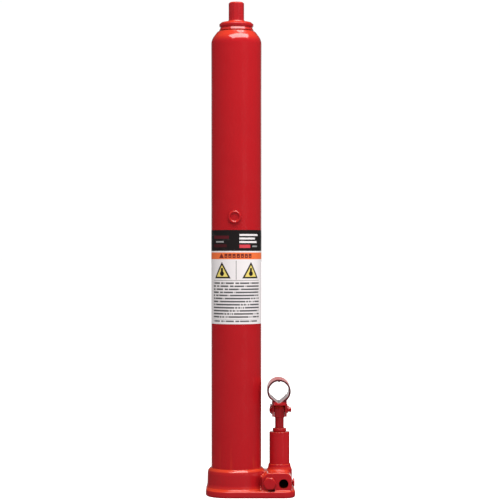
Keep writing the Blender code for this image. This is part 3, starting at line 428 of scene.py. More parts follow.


# One argument sets how strongly faces that look up get the painted highlight of the lamp overhead.
def enamel(name, grain_scale=900.0, grain=0.10, peel=0.10, roughness=0.14, painted_top_light=0.8, coat=0.5):
    finish = Finish(name)
    finish.set("Base Color", enamel_colour(finish, grain_scale, painted_top_light))
    swell = finish.noise(150.0, 1.0)
    cast_grain = finish.noise(grain_scale, 3.0, roughness=0.65)
    haze = finish.smooth(finish.noise(60.0, 4.0), 0.35, 0.8)
    finish.set("Roughness", roughness + haze * 0.06)
    finish.relief(swell * peel + cast_grain * grain, 0.5, 0.0005)
    finish.set("Coat Weight", coat)
    finish.set("Coat Roughness", 0.06)
    finish.set("Specular IOR Level", 0.45)
    return finish


def tube_paint():
    """The tube's enamel, with orange streaks painted just above the collar as reflections of the casting."""
    finish = enamel("tube enamel", 1400.0, 0.02, 0.035, 0.13)
    paint = finish.paint()
    low = finish.smooth(finish.axes()[2] * -1.0, -75.0 * MM, -40.0 * MM)
    # Painted reflection: stretched orange streaks near the collar, where the casting's top would reflect in the
    # tube.
    painted_reflection_streaks = finish.smooth(finish.noise(140.0, 2.0, (1.0, 1.0, 0.12)), 0.52, 0.70)
    finish.set("Base Color", finish.mix(painted_reflection_streaks * low * 0.34, paint, PAINTED_LIGHT_ORANGE))
    return finish.material


tube_enamel = tube_paint()
cast_enamel = enamel("casting enamel", 520.0, 0.20, 0.14, 0.19, 1.0, 0.32).material
part_enamel = enamel("small part enamel", 1100.0, 0.04, 0.05, 0.16, 0.6).material
print("three enamels made")

# %% [markdown]
# ## Bare metals and rubber
# Inside the jack the metal is bare. Turned steel shows fine rings round its axis, so its bump is a
# noise squeezed along the axis. Rubber is nearly black, with a slight bloom of dust.


# %% Metals
def bare_metal(name, colour, dark, roughness, rings=(1.0, 1.0, 40.0)):
    finish = Finish(name)
    stain = finish.smooth(finish.noise(70.0, 4.0), 0.4, 0.8)
    finish.set("Base Color", finish.mix(stain * 0.5, colour, dark))
    turning = finish.noise(160.0, 2.0, rings)
    finish.set("Roughness", roughness + turning * 0.16)
    finish.set("Metallic", 1.0)
    finish.relief(turning, 0.12, 0.0002)
    return finish.material


def rubber(name, colour, bloom, roughness=0.55):
    finish = Finish(name)
    dust = finish.smooth(finish.noise(220.0, 5.0), 0.45, 0.85)
    finish.set("Base Color", finish.mix(dust * 0.6, colour, bloom))
    finish.set("Roughness", roughness + dust * 0.2)
    finish.relief(finish.noise(1500.0, 2.0), 0.15, 0.0002)
    return finish.material


steel = bare_metal("turned steel", (0.52, 0.53, 0.55), (0.30, 0.29, 0.28), 0.24)
EVEN = (1, 1, 1)
ball_steel = bare_metal("polished ball", (0.72, 0.73, 0.75), (0.55, 0.55, 0.56), 0.06, EVEN)
spring_steel = bare_metal("oiled spring wire", (0.30, 0.30, 0.32), (0.12, 0.11, 0.1), 0.28, EVEN)
bronze = bare_metal("sintered bronze", (0.56, 0.36, 0.15), (0.32, 0.19, 0.08), 0.36, EVEN)
copper = bare_metal("soft copper", (0.75, 0.34, 0.21), (0.42, 0.17, 0.1), 0.3, EVEN)
black_steel = bare_metal("oiled black steel", (0.022, 0.018, 0.02), (0.01, 0.008, 0.008), 0.42)
black_rubber = rubber("nitrile rubber", (0.012, 0.012, 0.013), (0.05, 0.05, 0.048))
red_rubber = enamel("painted rubber", 1100.0, 0.05, 0.10, 0.16, 0.7).material
print("metals and rubbers made")

# %% [markdown]
# ## A ram that is painted only where the brush reached
# The jack was painted closed, so the ram's stub is red and the rest is ground steel. One material
# holds both, split by height along the bar, so the steel shows only when the ram is out.


# %% Ram finish
def part_painted(name, edge, feather):
    """Enamel above a height along Z, and ground steel below it."""
    finish = enamel(name, 1100.0, 0.05, 0.08, 0.20)
    paint = finish.paint()
    height = finish.axes()[2]
    ragged = height + (finish.noise(240.0, 2.0) - 0.5) * (2.0 * MM)
    painted = finish.smooth(ragged, edge - feather, edge + feather)
    steel_colour = (0.56, 0.57, 0.59)
    # The paint on the stub is darkened in random vertical streaks.
    dark_vertical_streaks = finish.smooth(finish.noise(420.0, 2.0, (1.0, 1.0, 0.04)), 0.40, 0.66)
    deep = finish.mix(dark_vertical_streaks * 0.45, paint, (0.250, 0.0045, 0.0090))
    finish.set("Base Color", finish.mix(painted, steel_colour, deep))
    finish.set("Metallic", (1.0 - painted) * 0.72)
    finish.set("Roughness", 0.15 + painted * 0.09 + finish.noise(90.0, 3.0, (1, 1, 30)) * 0.05)
    finish.set("Coat Weight", painted * 0.55)
    return finish.material


wiper_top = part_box("rod_wiper")[1].z
gland_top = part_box("gland_nut")[1].z
ram_finish = part_painted("ram, painted end", wiper_top - 0.5 * MM, 0.3 * MM)
plunger_finish = part_painted("plunger, painted head", gland_top - 0.5 * MM, 0.3 * MM)

# %% [markdown]
# ## Sheared edges
# The handle socket's rims are painted darker than its sides, in a band at each end above a
# height. The dark band is a mask on the distance along the socket, not a separate piece.


# %% Socket finish
def rimmed_enamel(low, high, depth, foot):
    """Enamel that turns dark within a depth of two planes across Y, above a height."""
    finish = enamel("socket enamel", 1100.0, 0.04, 0.05, 0.16, 0.4)
    paint = finish.paint()
    along = finish.axes()[1]
    from_middle = abs(along - (low + high) / 2)
    rim = finish.smooth(from_middle, (high - low) / 2 - depth, (high - low) / 2 - depth * 0.5)
    rim = rim * (from_middle < (high - low) / 2 + 0.2 * MM)
    rim = rim * finish.smooth(finish.axes()[2], foot, foot + 1.5 * MM)
    # The paint is darkened in a band at each rim of the socket, above a height.
    finish.set("Base Color", finish.mix(rim * 0.95, paint, (0.060, 0.0030, 0.0070)))
    finish.set("Coat Weight", 0.15 - rim * 0.15)
    finish.set("Roughness", 0.27 + rim * 0.30)
    finish.set("Specular Tint", (1.0, 0.74, 0.77))
    finish.set("Coat Tint", (1.0, 0.80, 0.82))
    return finish.material


# %% [markdown]
# ## The printed label
# A vinyl label wraps the front of the tube. Its print is drawn by arithmetic: `across` is the
# distance round the tube in millimetres, `up` is the height, and a rectangle is the product of four
# comparisons. Nothing on it can be read: bars stand for headings and broken lines for small print,
# because a generic label needs the rhythm of a text and none of its words.


# %% Label drawing tools
class Print:
    """Draws ink shapes on the label in millimetres."""

    def __init__(self, finish, radius):
        self.finish = finish
        x, y, z = finish.axes()
        angle = x.math("ARCTAN2", y * -1.0)
        self.across = angle * (radius / MM)
        self.up = z / MM

    def band(self, value, low, high):
        return (value > low) * (value < high)

    def bar(self, left, right, low, high):
        return self.band(self.across, left, right) * self.band(self.up, low, high)

    def triangle(self, middle, foot, height, half, inset):
        """An upright triangle, its sides moved in by the inset."""
        slope = half / height
        edge = inset * math.hypot(1.0, slope)
        side = abs(self.across - middle) + (self.up - foot) * slope
        return (side < half - edge) * (self.up > foot + inset)

    def disc(self, middle, height, radius):
        return ((self.across - middle) ** 2.0 + (self.up - height) ** 2.0) < radius ** 2

    def words(self, pitch, top, rows, left, right, thickness):
        """Rows of dashes of uneven length, as small print seen from afar."""
        row = ((top - self.up) / pitch).floor()
        within = (top - self.up) / pitch - row
        line = within < thickness
        count = (row > -1.0) * (row < rows)
        spread = self.across * 1.05 + row * 7.3
        sockets = {"W": spread.floor()}
        random = self.finish.node("ShaderNodeTexWhiteNoise", {"noise_dimensions": "1D"}, sockets)
        inside = self.band(self.across, left, right)
        return line * count * inside * (random > 0.10)


# %% Label finish
def printed_label():
    finish = Finish("printed vinyl")
    ink = Print(finish, TUBE_RADIUS)
    low = label_low.z / MM
    high = label_high.z / MM
    white = (0.74, 0.71, 0.71)
    black = (0.014, 0.011, 0.011)
    orange = (0.78, 0.150, 0.035)
    yellow = (0.74, 0.61, 0.15)
    brown = (0.16, 0.018, 0.014)
    grey = (0.30, 0.30, 0.30)
    colour = finish.mix(ink.band(ink.up, high - 26.1, high + 1.0), white, black)
    colour = finish.mix(ink.band(ink.up, high - 36.4, high - 28.0), colour, orange)

    def stamp(mask, tint):
        nonlocal colour
        colour = finish.mix(mask, colour, tint)

    for height, length in ((5.0, 27.0), (9.4, 22.0), (13.8, 25.0)):
        stamp(ink.bar(4.0, 4.0 + length, high - height - 2.4, high - height), white)
    for left, right, bottom, top, tint in (
        (4.0, 18.5, 22.4, 18.2, (0.60, 0.045, 0.065)), (21.5, 30.0, 21.2, 19.4, grey),
        (-33.0, -9.0, 11.0, 7.0, (0.095, 0.008, 0.013)), (-29.0, -16.0, 15.6, 13.8, grey),
        (-33.0, -12.0, 21.5, 17.6, (0.06, 0.008, 0.011)),
    ):
        stamp(ink.bar(left, right, high - bottom, high - top), tint)
    stamp(ink.triangle(-19.4, high - 35.0, 6.0, 3.6, 0.0), brown)
    for index in range(7):
        left = -15.0 + index * 5.2
        stamp(ink.bar(left, left + 4.0, high - 34.8, high - 29.6), brown)
        stamp(ink.bar(left + 1.3, left + 2.7, high - 33.4, high - 32.2), orange)
    for middle in (-18.7, 19.5):
        foot = low + 56.9
        stamp(ink.triangle(middle, foot, 20.6, 12.0, 0.0), black)
        stamp(ink.triangle(middle, foot, 20.6, 12.0, 2.0), yellow)
        stamp(ink.disc(middle, foot + 6.0, 3.0), black)
        stamp(ink.bar(middle - 1.5, middle + 1.5, foot + 8.0, foot + 13.0), black)
    stamp(ink.bar(-0.3, 0.3, low + 55.5, low + 79.0), black)
    stamp(ink.bar(-34.0, 34.0, low + 54.2, low + 54.7), black)
    stamp(ink.words(3.82, low + 52.0, 12.0, -34.0, 34.0, 0.52), (0.10, 0.10, 0.10))
    stamp(ink.bar(-34.0, 34.0, low + 5.8, low + 6.2), grey)
    stamp(ink.words(3.82, low + 4.6, 1.0, -34.0, 30.0, 0.5), (0.12, 0.12, 0.12))
    scuff = finish.smooth(finish.noise(55.0, 6.0, (1.0, 1.0, 3.0)), 0.62, 0.82)
    finish.set("Base Color", finish.mix(scuff * 0.12, colour, (0.5, 0.45, 0.42)))
    finish.set("Roughness", 0.32 + scuff * 0.25)
    finish.relief(finish.noise(500.0, 2.0), 0.05, 0.0002)
    finish.set("Coat Weight", 0.2)
    return finish.material


label_finish = printed_label()
print("label printed with", len(label_finish.node_tree.nodes), "nodes")


# %% [markdown]
# ## Dressing a part
# Each finished piece needs three things: its material, the body that it moves with, and the name
# of the coarse part that it stands for, which is hidden. One function does all three.


# %% Dress
def dress(piece, body, material, slot, *nodes):
    piece.data.materials.clear()
    piece.data.materials.append(material)
    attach(piece, body)
    if nodes:
        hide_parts(*nodes)
    print(piece.name, "has", len(piece.data.polygons), "faces and rides on", body)
    return piece


def fitting(piece, body, node):
    """Dresses a small part that was painted with the rest."""
    return dress(piece, body, part_enamel, "painted_fittings", node)


# %% [markdown]
# ## The reservoir tube
# A drawn steel tube whose top is spun over into a rounded shoulder. It could be a cylinder with a
# bevel, but the shoulder is an arc that runs into a short cone, so the whole section is drawn once
# and spun in fine steps: long vertical reflections show every facet of a coarse tube.

# %% Reservoir tube
SHOULDER_RISE = 16.7 * MM
SHOULDER_ARC = 18.6 * MM
SHOULDER_TURN = 42.0
NECK_RADIUS = radius_of("cylinder_tube") + 3.6 * MM
LIP = 2.8 * MM


def reservoir_tube():
    top = tube_high.z
    centre = (TUBE_RADIUS - SHOULDER_ARC, top - SHOULDER_RISE)
    mouth = radius_of("neck_seal") - 1.9 * MM
    outer = arc(centre, SHOULDER_ARC, 0.0, SHOULDER_TURN, 20)
    inner = arc(centre, SHOULDER_ARC - TUBE_WALL, SHOULDER_TURN, 0.0, 10)
    profile = [(TUBE_RADIUS - TUBE_WALL, tube_low.z), (TUBE_RADIUS, tube_low.z)] + outer
    profile += [(NECK_RADIUS, top - 1.0 * MM, 0.8 * MM), (NECK_RADIUS - 1.2 * MM, top)]
    profile += [(mouth, top), (mouth, top - LIP), (NECK_RADIUS - TUBE_WALL, top - LIP)] + inner
    tube = turned("reservoir_shell", profile, 160)
    plug = centre_of("filler_plug")
    heading = math.atan2(plug.x, -plug.y)
    stem = hole(5.0 * MM, (0.0, 0.0, plug.z), TUBE_RADIUS + 5.0 * MM, (math.pi / 2, 0.0, heading))
    return cut(tube, stem)


dress(reservoir_tube(), "jack_body", tube_enamel, "reservoir_tube", "reservoir_tube")

# %% [markdown]
# ## The cast base
# The foot, the collar round the tube, the pump boss and the valve block are one iron casting. Each
# is drawn as a plain form, all are welded, and `soften` gives the skin of a casting under thick
# paint. The bores are cut last, because a drill leaves them crisp.


# %% Base forms
SUNK = FLANGE_TOP - 3.0 * MM
BLOCK_FACE = 37.0 * MM
BLOCK_WIDTH = 37.0 * MM
BLOCK_TOP = 31.0 * MM
WEB_TOP = 30.6 * MM
BLOCK_FOOT = 6.0 * MM
LUG_RADIUS = 7.5 * MM
LUG_THICKNESS = 5.0 * MM
LINK_HALF = 5.5 * MM


def foot():
    left, right = base_low.x, base_high.x
    front, back = base_low.y, base_high.y
    outline = [
        (left, front, 30.0 * MM), (right, front, 16.0 * MM), (right, back, 16.0 * MM),
        (left, back, 30.0 * MM),
    ]
    form = plate("cast_base", filleted(outline, True, 24), FLANGE_TOP)
    return bevelled(form, 2.4 * MM, 5, 50.0)


def collar():
    profile = [
        (0.0, SUNK), (COLLAR_RADIUS + 1.9 * MM, SUNK),
        (COLLAR_RADIUS + 2.4 * MM, FLANGE_TOP - 0.2 * MM),
        (COLLAR_RADIUS + 0.9 * MM, FLANGE_TOP + 4.5 * MM, 6.0 * MM),
        (COLLAR_RADIUS + 0.6 * MM, COLLAR_TOP - 6.5 * MM, 3.5 * MM),
        (COLLAR_RADIUS - 0.1 * MM, COLLAR_TOP - 2.8 * MM, 0.8 * MM),
        (COLLAR_BORE + 0.8 * MM, COLLAR_TOP + 0.2 * MM, 0.5 * MM), (0.0, COLLAR_TOP + 0.2 * MM),
    ]
    return turned("collar", profile, 160)


def pump_boss():
    top = base_high.z
    profile = [
        (0.0, SUNK), (BOSS_RADIUS + 1.2 * MM, SUNK), (BOSS_RADIUS, FLANGE_TOP + 3.0 * MM, 3.0 * MM),
        (BOSS_RADIUS, top - 7.5 * MM, 2.0 * MM), (BOSS_RADIUS - 1.6 * MM, top - 3.6 * MM, 2.0 * MM),
        (BARREL_RADIUS + GAP + 0.9 * MM, top), (0.0, top),
    ]
    return turned("pump boss", profile, 96, (PUMP_X, 0.0, 0.0))


def web():
    left = TUBE_RADIUS - 8.0 * MM
    half = 15.0 * MM
    outline = rectangle(left, PUMP_X, -half, half)
    return plate("web", outline, WEB_TOP - SUNK, (0.0, 0.0, SUNK))


def valve_block():
    """The front block: a cut corner at the left and a round one at the right."""
    right = PUMP_X + 14.7 * MM
    left = right - BLOCK_WIDTH
    outline = [
        (left, BLOCK_FOOT), (right, BLOCK_FOOT), (right, BLOCK_TOP, 7.5 * MM),
        (left + 7.0 * MM, BLOCK_TOP, 1.5 * MM), (left, BLOCK_TOP - 6.0 * MM, 1.5 * MM),
    ]
    return plate("valve block", filleted(outline, True, 8), BLOCK_FACE, turn=TO_FRONT)


def link_lugs():
    front = LINK_FOOT.y - LUG_RADIUS - 3.0 * MM
    outline = [(front, BLOCK_FOOT), (LINK_FOOT.y + LUG_RADIUS, BLOCK_FOOT)]
    outline += arc((LINK_FOOT.y, LINK_FOOT.z), LUG_RADIUS, 0.0, 90.0, 16)
    outline += [(front, LINK_FOOT.z + LUG_RADIUS)]
    starts = (PUMP_X - LINK_HALF - LUG_THICKNESS, PUMP_X + LINK_HALF)
    return [plate("lug", outline, LUG_THICKNESS, (x, 0.0, 0.0), SIDE_PLATE) for x in starts]


# %% Base bores
TUBE_SEAT = 22.0 * MM
CYLINDER_SEAT = 20.0 * MM
CYLINDER_RING_TOP = 30.0 * MM
GALLERY_BORE = 6.5 * MM
VALVE_SEAT = 14.0 * MM
RECESS_FLOOR = 27.0 * MM
REACH = 30.0 * MM


def tank_seat():
    ring = radius_of("cylinder_tube") + GAP
    wall = ring + 4.8 * MM
    above = base_high.z + 10.0 * MM
    profile = [
        (0.0, CYLINDER_SEAT), (ring, CYLINDER_SEAT), (ring, CYLINDER_RING_TOP),
        (wall, CYLINDER_RING_TOP), (wall, TUBE_SEAT), (COLLAR_BORE, TUBE_SEAT),
        (COLLAR_BORE, above), (0.0, above),
    ]
    return turned("tank seat", profile, 160)


def barrel_seat():
    above = base_high.z + 10.0 * MM
    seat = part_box("barrel_washer")[0].z - GAP
    profile = [
        (0.0, TUBE_SEAT), (GALLERY_BORE, TUBE_SEAT), (GALLERY_BORE, seat),
        (BARREL_RADIUS + GAP, seat), (BARREL_RADIUS + GAP, above), (0.0, above),
    ]
    return turned("barrel seat", profile, 96, (PUMP_X, 0.0, 0.0))


def base_bores():
    release = centre_of("release_spindle")
    relief = centre_of("relief_cap")
    side = centre_of("side_plug")
    corners = rectangle(-4.3 * MM, 4.3 * MM, -2.0 * MM, 1.9 * MM)
    notch = filleted([(x, y, 1.0 * MM) for x, y in corners], True, 6)
    notch_at = (relief.x + 2.3 * MM, -REACH, FLANGE_TOP + 1.0 * MM)
    return [
        hole(4.5 * MM, (release.x, -VALVE_SEAT, release.z), REACH, TO_FRONT),
        hole(6.0 * MM, (release.x, -RECESS_FLOOR, release.z), REACH / 2, TO_FRONT),
        hole(4.2 * MM, (relief.x, -VALVE_SEAT, relief.z), REACH, TO_FRONT),
        hole(3.8 * MM, (PUMP_X + BOSS_RADIUS - 5.0 * MM, 0.0, side.z), 12.0 * MM, TO_PUMP_SIDE),
        hole(3.3 * MM, (PUMP_X - 20.0 * MM, LINK_FOOT.y, LINK_FOOT.z), 40.0 * MM, TO_PUMP_SIDE),
        hole(5.5 * MM, (0.0, -6.0 * MM, 18.5 * MM), 6.0 * MM),
        plate("notch", notch, 14.0 * MM, notch_at, TO_FRONT),
    ]


# %% Cast the base
SKIN = 0.7 * MM
base = welded(foot(), collar(), pump_boss(), web(), valve_block(), *link_lugs())
soften(base, SKIN, 5)
cut(base, tank_seat(), barrel_seat(), *base_bores())
for vert in base.data.vertices:
    if vert.co.z < base_low.z + 0.4 * MM:
        vert.co.z = base_low.z
dress(base, "jack_body", cast_enamel, "base", "base")

# %% [markdown]
# ## Top nut, wiper and ram
# The nut is a turned ring: a narrow groove under it, a sloping band that catches the light, and a
# rounded rim. The wiper's lip is the small collar at the foot of the ram.


# %% Top of the jack
def top_nut():
    low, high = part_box("top_nut")
    face = radius_of("top_nut")
    spigot = radius_of("neck_seal") - 2.8 * MM
    seat = tube_high.z + GAP
    bore = radius_of("ram_rod") + 2 * GAP
    wiper = radius_of("rod_wiper") + GAP
    profile = [
        (bore, low.z), (spigot, low.z), (spigot, seat), (face - 2.6 * MM, seat),
        (face - 2.6 * MM, seat + 0.9 * MM), (face - 0.2 * MM, seat + 0.9 * MM, 0.2 * MM),
        (face, seat + 1.4 * MM, 0.3 * MM), (face - 1.9 * MM, seat + 4.6 * MM, 0.7 * MM),
        (face - 0.3 * MM, seat + 6.3 * MM, 1.0 * MM), (face - 0.2 * MM, high.z - 3.0 * MM, 1.0 * MM),
        (face - 3.0 * MM, high.z - 0.6 * MM, 1.2 * MM),
        (face - 6.0 * MM, high.z - 0.1 * MM, 0.8 * MM),
        (wiper + 0.3 * MM, high.z - 0.1 * MM, 0.2 * MM), (wiper, high.z - 0.6 * MM),
        (wiper, high.z - 4.7 * MM), (bore, high.z - 4.7 * MM), (bore, low.z + 15.7 * MM),
        (bore + 3.2 * MM, low.z + 15.7 * MM), (bore + 3.2 * MM, low.z + 10.7 * MM),
        (bore, low.z + 10.7 * MM), (bore, low.z + 8.0 * MM),
        (bore + 1.9 * MM, low.z + 8.0 * MM), (bore + 1.9 * MM, low.z + 2.0 * MM),
        (bore, low.z + 2.0 * MM),
    ]
    return turned("gland_cap", profile, 128)


def wiper_lip():
    low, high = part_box("rod_wiper")
    inner = radius_of("ram_rod") + GAP
    outer = radius_of("rod_wiper")
    profile = [
        (inner, low.z), (outer, low.z, 0.3 * MM), (outer, high.z - 2.0 * MM, 0.8 * MM),
        (inner + 1.1 * MM, high.z - 0.6 * MM, 0.8 * MM),
        (inner + 0.7 * MM, high.z, 0.3 * MM), (inner, high.z - 0.2 * MM),
    ]
    return turned("wiper_lip", profile, 96)


def ram_bar():
    low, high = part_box("ram_rod")
    radius = radius_of("ram_rod")
    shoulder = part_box("piston")[1].z + GAP
    stud = 6.0 * MM
    profile = [
        (0.0, low.z), (stud, low.z, 0.8 * MM), (stud, shoulder),
        (radius, shoulder, 0.4 * MM), (radius, high.z - 1.5 * MM, 0.6 * MM),
        (radius - 1.5 * MM, high.z, 0.6 * MM), (0.0, high.z),
    ]
    return turned("ram_bar", profile, 96)


dress(top_nut(), "jack_body", part_enamel, "top_nut", "top_nut")
dress(wiper_lip(), "jack_body", red_rubber, "wiper", "rod_wiper")
dress(ram_bar(), "ram", ram_finish, "ram_steel", "ram_rod")

# %% [markdown]
# ## The pump
# The barrel is plain turned bar with a small chamfer, and its gland nut reads as a short collar
# under the paint. The plunger ends in a flat-sided head, rounded over the top so that the socket can
# swing on it.


# %% Pump
def pump_body():
    gland_bore = radius_of("gland_packing") + GAP
    bore = radius_of("pump_plunger") - 1.1 * MM + GAP
    packing_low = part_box("gland_packing")[0].z - GAP
    profile = [
        (bore, barrel_low.z), (BARREL_RADIUS, barrel_low.z),
        (BARREL_RADIUS, barrel_high.z, 0.9 * MM), (gland_bore, barrel_high.z, 0.3 * MM),
        (gland_bore, packing_low), (bore, packing_low),
    ]
    return turned("pump_body", profile, 96, (PUMP_X, 0.0, 0.0))


def gland_collar():
    low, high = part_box("gland_nut")
    outer = radius_of("gland_nut")
    inner = radius_of("gland_packing")
    hole_radius = radius_of("plunger_seal") + GAP
    profile = [
        (hole_radius, low.z), (inner, low.z), (inner, barrel_high.z + GAP),
        (outer, barrel_high.z + GAP, 0.3 * MM), (outer, high.z - 0.4 * MM, 0.9 * MM),
        (outer - 1.0 * MM, high.z, 0.5 * MM), (hole_radius, high.z, 0.3 * MM),
    ]
    return turned("gland_collar", profile, 72, (PUMP_X, 0.0, 0.0))


def plunger_bar():
    low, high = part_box("pump_plunger")
    radius = radius_of("plunger_seal")
    eye = high.z - PIN.z
    neck = radius - 1.4 * MM
    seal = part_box("plunger_seal")
    profile = [
        (0.0, low.z), (radius, low.z, 0.7 * MM), (radius, seal[0].z - GAP),
        (neck, seal[0].z - GAP), (neck, seal[1].z + GAP), (radius, seal[1].z + GAP),
        (radius, PIN.z - eye), (0.0, PIN.z - eye),
    ]
    bar = turned("plunger_bar", profile, 72, (PUMP_X, 0.0, 0.0))
    outline = arc((0.0, 0.0), eye, 0.0, 180.0, 32)
    outline += [(-eye, -9.4 * MM), (eye, -9.4 * MM)]
    wide = high.x - low.x
    head = plate("head", outline, wide, (PUMP_X - wide / 2, 0.0, PIN.z), SIDE_PLATE)
    bevelled(head, 0.7 * MM, 3)
    bore = hole(PIN_RADIUS + GAP, (PUMP_X - 10.0 * MM, 0.0, PIN.z), 20.0 * MM, TO_PUMP_SIDE)
    return cut(welded(bar, head), bore)


dress(pump_body(), "jack_body", part_enamel, "pump_barrel", "pump_barrel")
fitting(gland_collar(), "jack_body", "gland_nut")
dress(plunger_bar(), "plunger", plunger_finish, "pump_plunger", "pump_plunger")

# %% [markdown]
# ## The handle socket
# Rolled sheet: a round tube for the handle whose sides close in a V below it, with an ear on each
# side for the pins. It could be a bent strip with a solidify modifier, but the ears are welded on,
# so all is joined as solids and softened, which rounds the sheared edges and fillets the welds.

# %% Handle socket
SHEET = 2.2 * MM
EAR_GAP = 14.0 * MM
SOCKET_SHIFT = -1.0 * MM
SOCKET_RISE = 25.2 * MM
SOCKET_BACK = 22.0 * MM


def socket_outlines():
    """The tube's outline, its foot closed by weld, and the hollow with its V."""
    radius = (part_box("handle_socket")[1].z - PIN.z) - SOCKET_RISE
    centre = (SOCKET_SHIFT, SOCKET_RISE)
    foot = 7.6 * MM
    hollow_foot = foot + 1.2 * SHEET
    outer = arc(centre, radius, -38.0, 218.0, 80)
    outer += [(-EAR_GAP / 2 - GAP, foot + 5.0 * MM), (-EAR_GAP / 2 - GAP, foot)]
    outer += [(EAR_GAP / 2 + GAP, foot), (EAR_GAP / 2 + GAP, foot + 5.0 * MM)]
    hollow = arc(centre, radius - SHEET, -38.0, 218.0, 80)
    hollow += [(SOCKET_SHIFT - 1.2 * MM, hollow_foot), (SOCKET_SHIFT + 1.2 * MM, hollow_foot)]
    return outer, hollow, radius


def socket_ears():
    low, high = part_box("handle_socket")
    eye = 9.0 * MM
    outline = [
        (-eye, 17.0 * MM), (-eye, low.z - PIN.z, 5.0 * MM),
        (high.y, low.z - PIN.z, 5.0 * MM), (high.y, 17.0 * MM),
    ]
    starts = (PUMP_X - EAR_GAP / 2 - SHEET, PUMP_X + EAR_GAP / 2)
    outline = filleted(outline, True, 12)
    return [plate("ear", outline, SHEET, (x, 0.0, PIN.z), SIDE_PLATE) for x in starts]


def rolled_socket():
    low, _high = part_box("handle_socket")
    length = SOCKET_BACK - low.y
    outer, hollow, radius = socket_outlines()
    socket = plate("rolled_socket", outer, length, (PUMP_X, SOCKET_BACK, PIN.z), TO_FRONT)
    welded(socket, *socket_ears())
    behind = (PUMP_X, SOCKET_BACK + 10.0 * MM, PIN.z)
    inside = plate("inside", hollow, length + 20.0 * MM, behind, TO_FRONT)
    cut(socket, inside)
    key_outline = [(-1.7 * MM, 0.4 * MM), (1.7 * MM, 0.4 * MM), (0.0, -1.7 * MM)]
    key_at = (PUMP_X + SOCKET_SHIFT, low.y + 7.0 * MM, PIN.z + SOCKET_RISE + radius - SHEET)
    welded(socket, plate("key", key_outline, 6.2 * MM, key_at, TO_FRONT))
    soften(socket, 0.42 * MM, 3)
    slot_middle = 21.5 * MM
    turns = [math.tau * step / 48 for step in range(48)]
    slot_outline = [
        (slot_middle + 4.3 * MM * math.cos(turn), 4.1 * MM * math.sin(turn)) for turn in turns
    ]
    start = PUMP_X - 12.0 * MM
    slot = plate("slot", slot_outline, 24.0 * MM, (start, 0.0, PIN.z), SIDE_PLATE)
    return cut(socket, hole(PIN_RADIUS + GAP, (start, 0.0, PIN.z), 24.0 * MM, TO_PUMP_SIDE), slot)


socket_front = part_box("handle_socket")[0].y
socket_finish = rimmed_enamel(socket_front, SOCKET_BACK, 1.3 * MM, PIN.z + 11.0 * MM)
dress(rolled_socket(), "socket", socket_finish, "handle_socket", "handle_socket")

# %% [markdown]
# ## Link, pins and clips
# The link behind the pump is a flat bar with a round eye at each end. The pins are turned, and
# spring clips hold them. All of them are small, so a crisp bevel is enough.


# %% Link and pins
def fulcrum_bar():
    low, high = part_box("fulcrum_link")
    eye = 6.0 * MM
    top_y = centre_of("fulcrum_pin").y - LINK_FOOT.y
    top_z = centre_of("fulcrum_pin").z - LINK_FOOT.z
    lean = math.degrees(math.atan2(top_z, top_y))
    opening = math.degrees(math.asin(3.5 * MM / eye))
    outline = arc((top_y, top_z), eye, lean - 180.0 + opening, lean + 180.0 - opening, 40)
    outline += arc((0.0, 0.0), eye, lean + opening, lean + 360.0 - opening, 40)
    wide = high.x - low.x
    bar = plate("fulcrum_bar", outline, wide, (low.x, LINK_FOOT.y, LINK_FOOT.z), SIDE_PLATE)
    bevelled(bar, 0.8 * MM, 3)
    pins = (LINK_FOOT, LINK_FOOT + Vector((0.0, top_y, top_z)))
    start = PUMP_X - 10.0 * MM
    return cut(bar, *[hole(PIN_RADIUS + GAP, (start, p.y, p.z), 20.0 * MM, TO_PUMP_SIDE) for p in pins])


def across(node):
    """The box, axis and radius of a round part that lies along X."""
    low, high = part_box(node)
    return low, high, (0.0, (low.y + high.y) / 2, (low.z + high.z) / 2), (high.z - low.z) / 2


def headed_pin(name, node):
    """A clevis pin along X, its thin head at the left."""
    low, high, at, head = across(node)
    profile = [
        (0.0, low.x), (head, low.x, 0.7 * MM), (head, low.x + 2.0 * MM, 0.3 * MM),
        (PIN_RADIUS, low.x + 2.0 * MM), (PIN_RADIUS, high.x, 0.6 * MM), (0.0, high.x),
    ]
    return turned(name, profile, 48, at, TO_PUMP_SIDE)


def cross_pin():
    """The socket's pin: a domed head at the left and a plain end."""
    low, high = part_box("socket_pin")
    head = (high.z - low.z) / 2
    seat = PUMP_X - EAR_GAP / 2 - SHEET - GAP
    dome = [(head * math.sin(math.radians(a)), seat - (seat - low.x) * math.cos(math.radians(a)))
            for a in range(0, 91, 10)]
    profile = dome[:-1] + [(head, seat, 0.3 * MM), (PIN_RADIUS, seat)]
    profile += [(PIN_RADIUS, high.x, 0.7 * MM), (0.0, high.x)]
    profile[0] = (0.0, low.x)
    return turned("cross_pin", profile, 48, (0.0, PIN.y, PIN.z), TO_PUMP_SIDE)


def clip(name, node):
    low, high, at, outer = across(node)
    inner = PIN_RADIUS + GAP
    profile = [
        (inner, low.x), (outer, low.x, 0.3 * MM), (outer, high.x, 0.3 * MM),
        (inner, high.x, 0.2 * MM),
    ]
    return turned(name, profile, 48, at, TO_PUMP_SIDE)


fitting(fulcrum_bar(), "link", "fulcrum_link")
fitting(headed_pin("fulcrum_clevis_pin", "fulcrum_pin"), "link", "fulcrum_pin")
fitting(headed_pin("base_clevis_pin", "link_base_pin"), "jack_body", "link_base_pin")
fitting(cross_pin(), "plunger", "socket_pin")
fitting(clip("socket_clip", "socket_pin_clip"), "plunger", "socket_pin_clip")
fitting(clip("fulcrum_clip", "fulcrum_pin_clip"), "link", "fulcrum_pin_clip")
fitting(clip("base_clip", "link_base_pin_clip"), "jack_body", "link_base_pin_clip")

# %% [markdown]
# ## Plugs, the release spindle and the filler plug
# The relief valve's cap is a hexagon with a turned-off face. The spindle's slotted head sits deep in
# its dark recess. The filler plug is rubber, pressed in before painting, and its skirt follows the
# round of the tube.


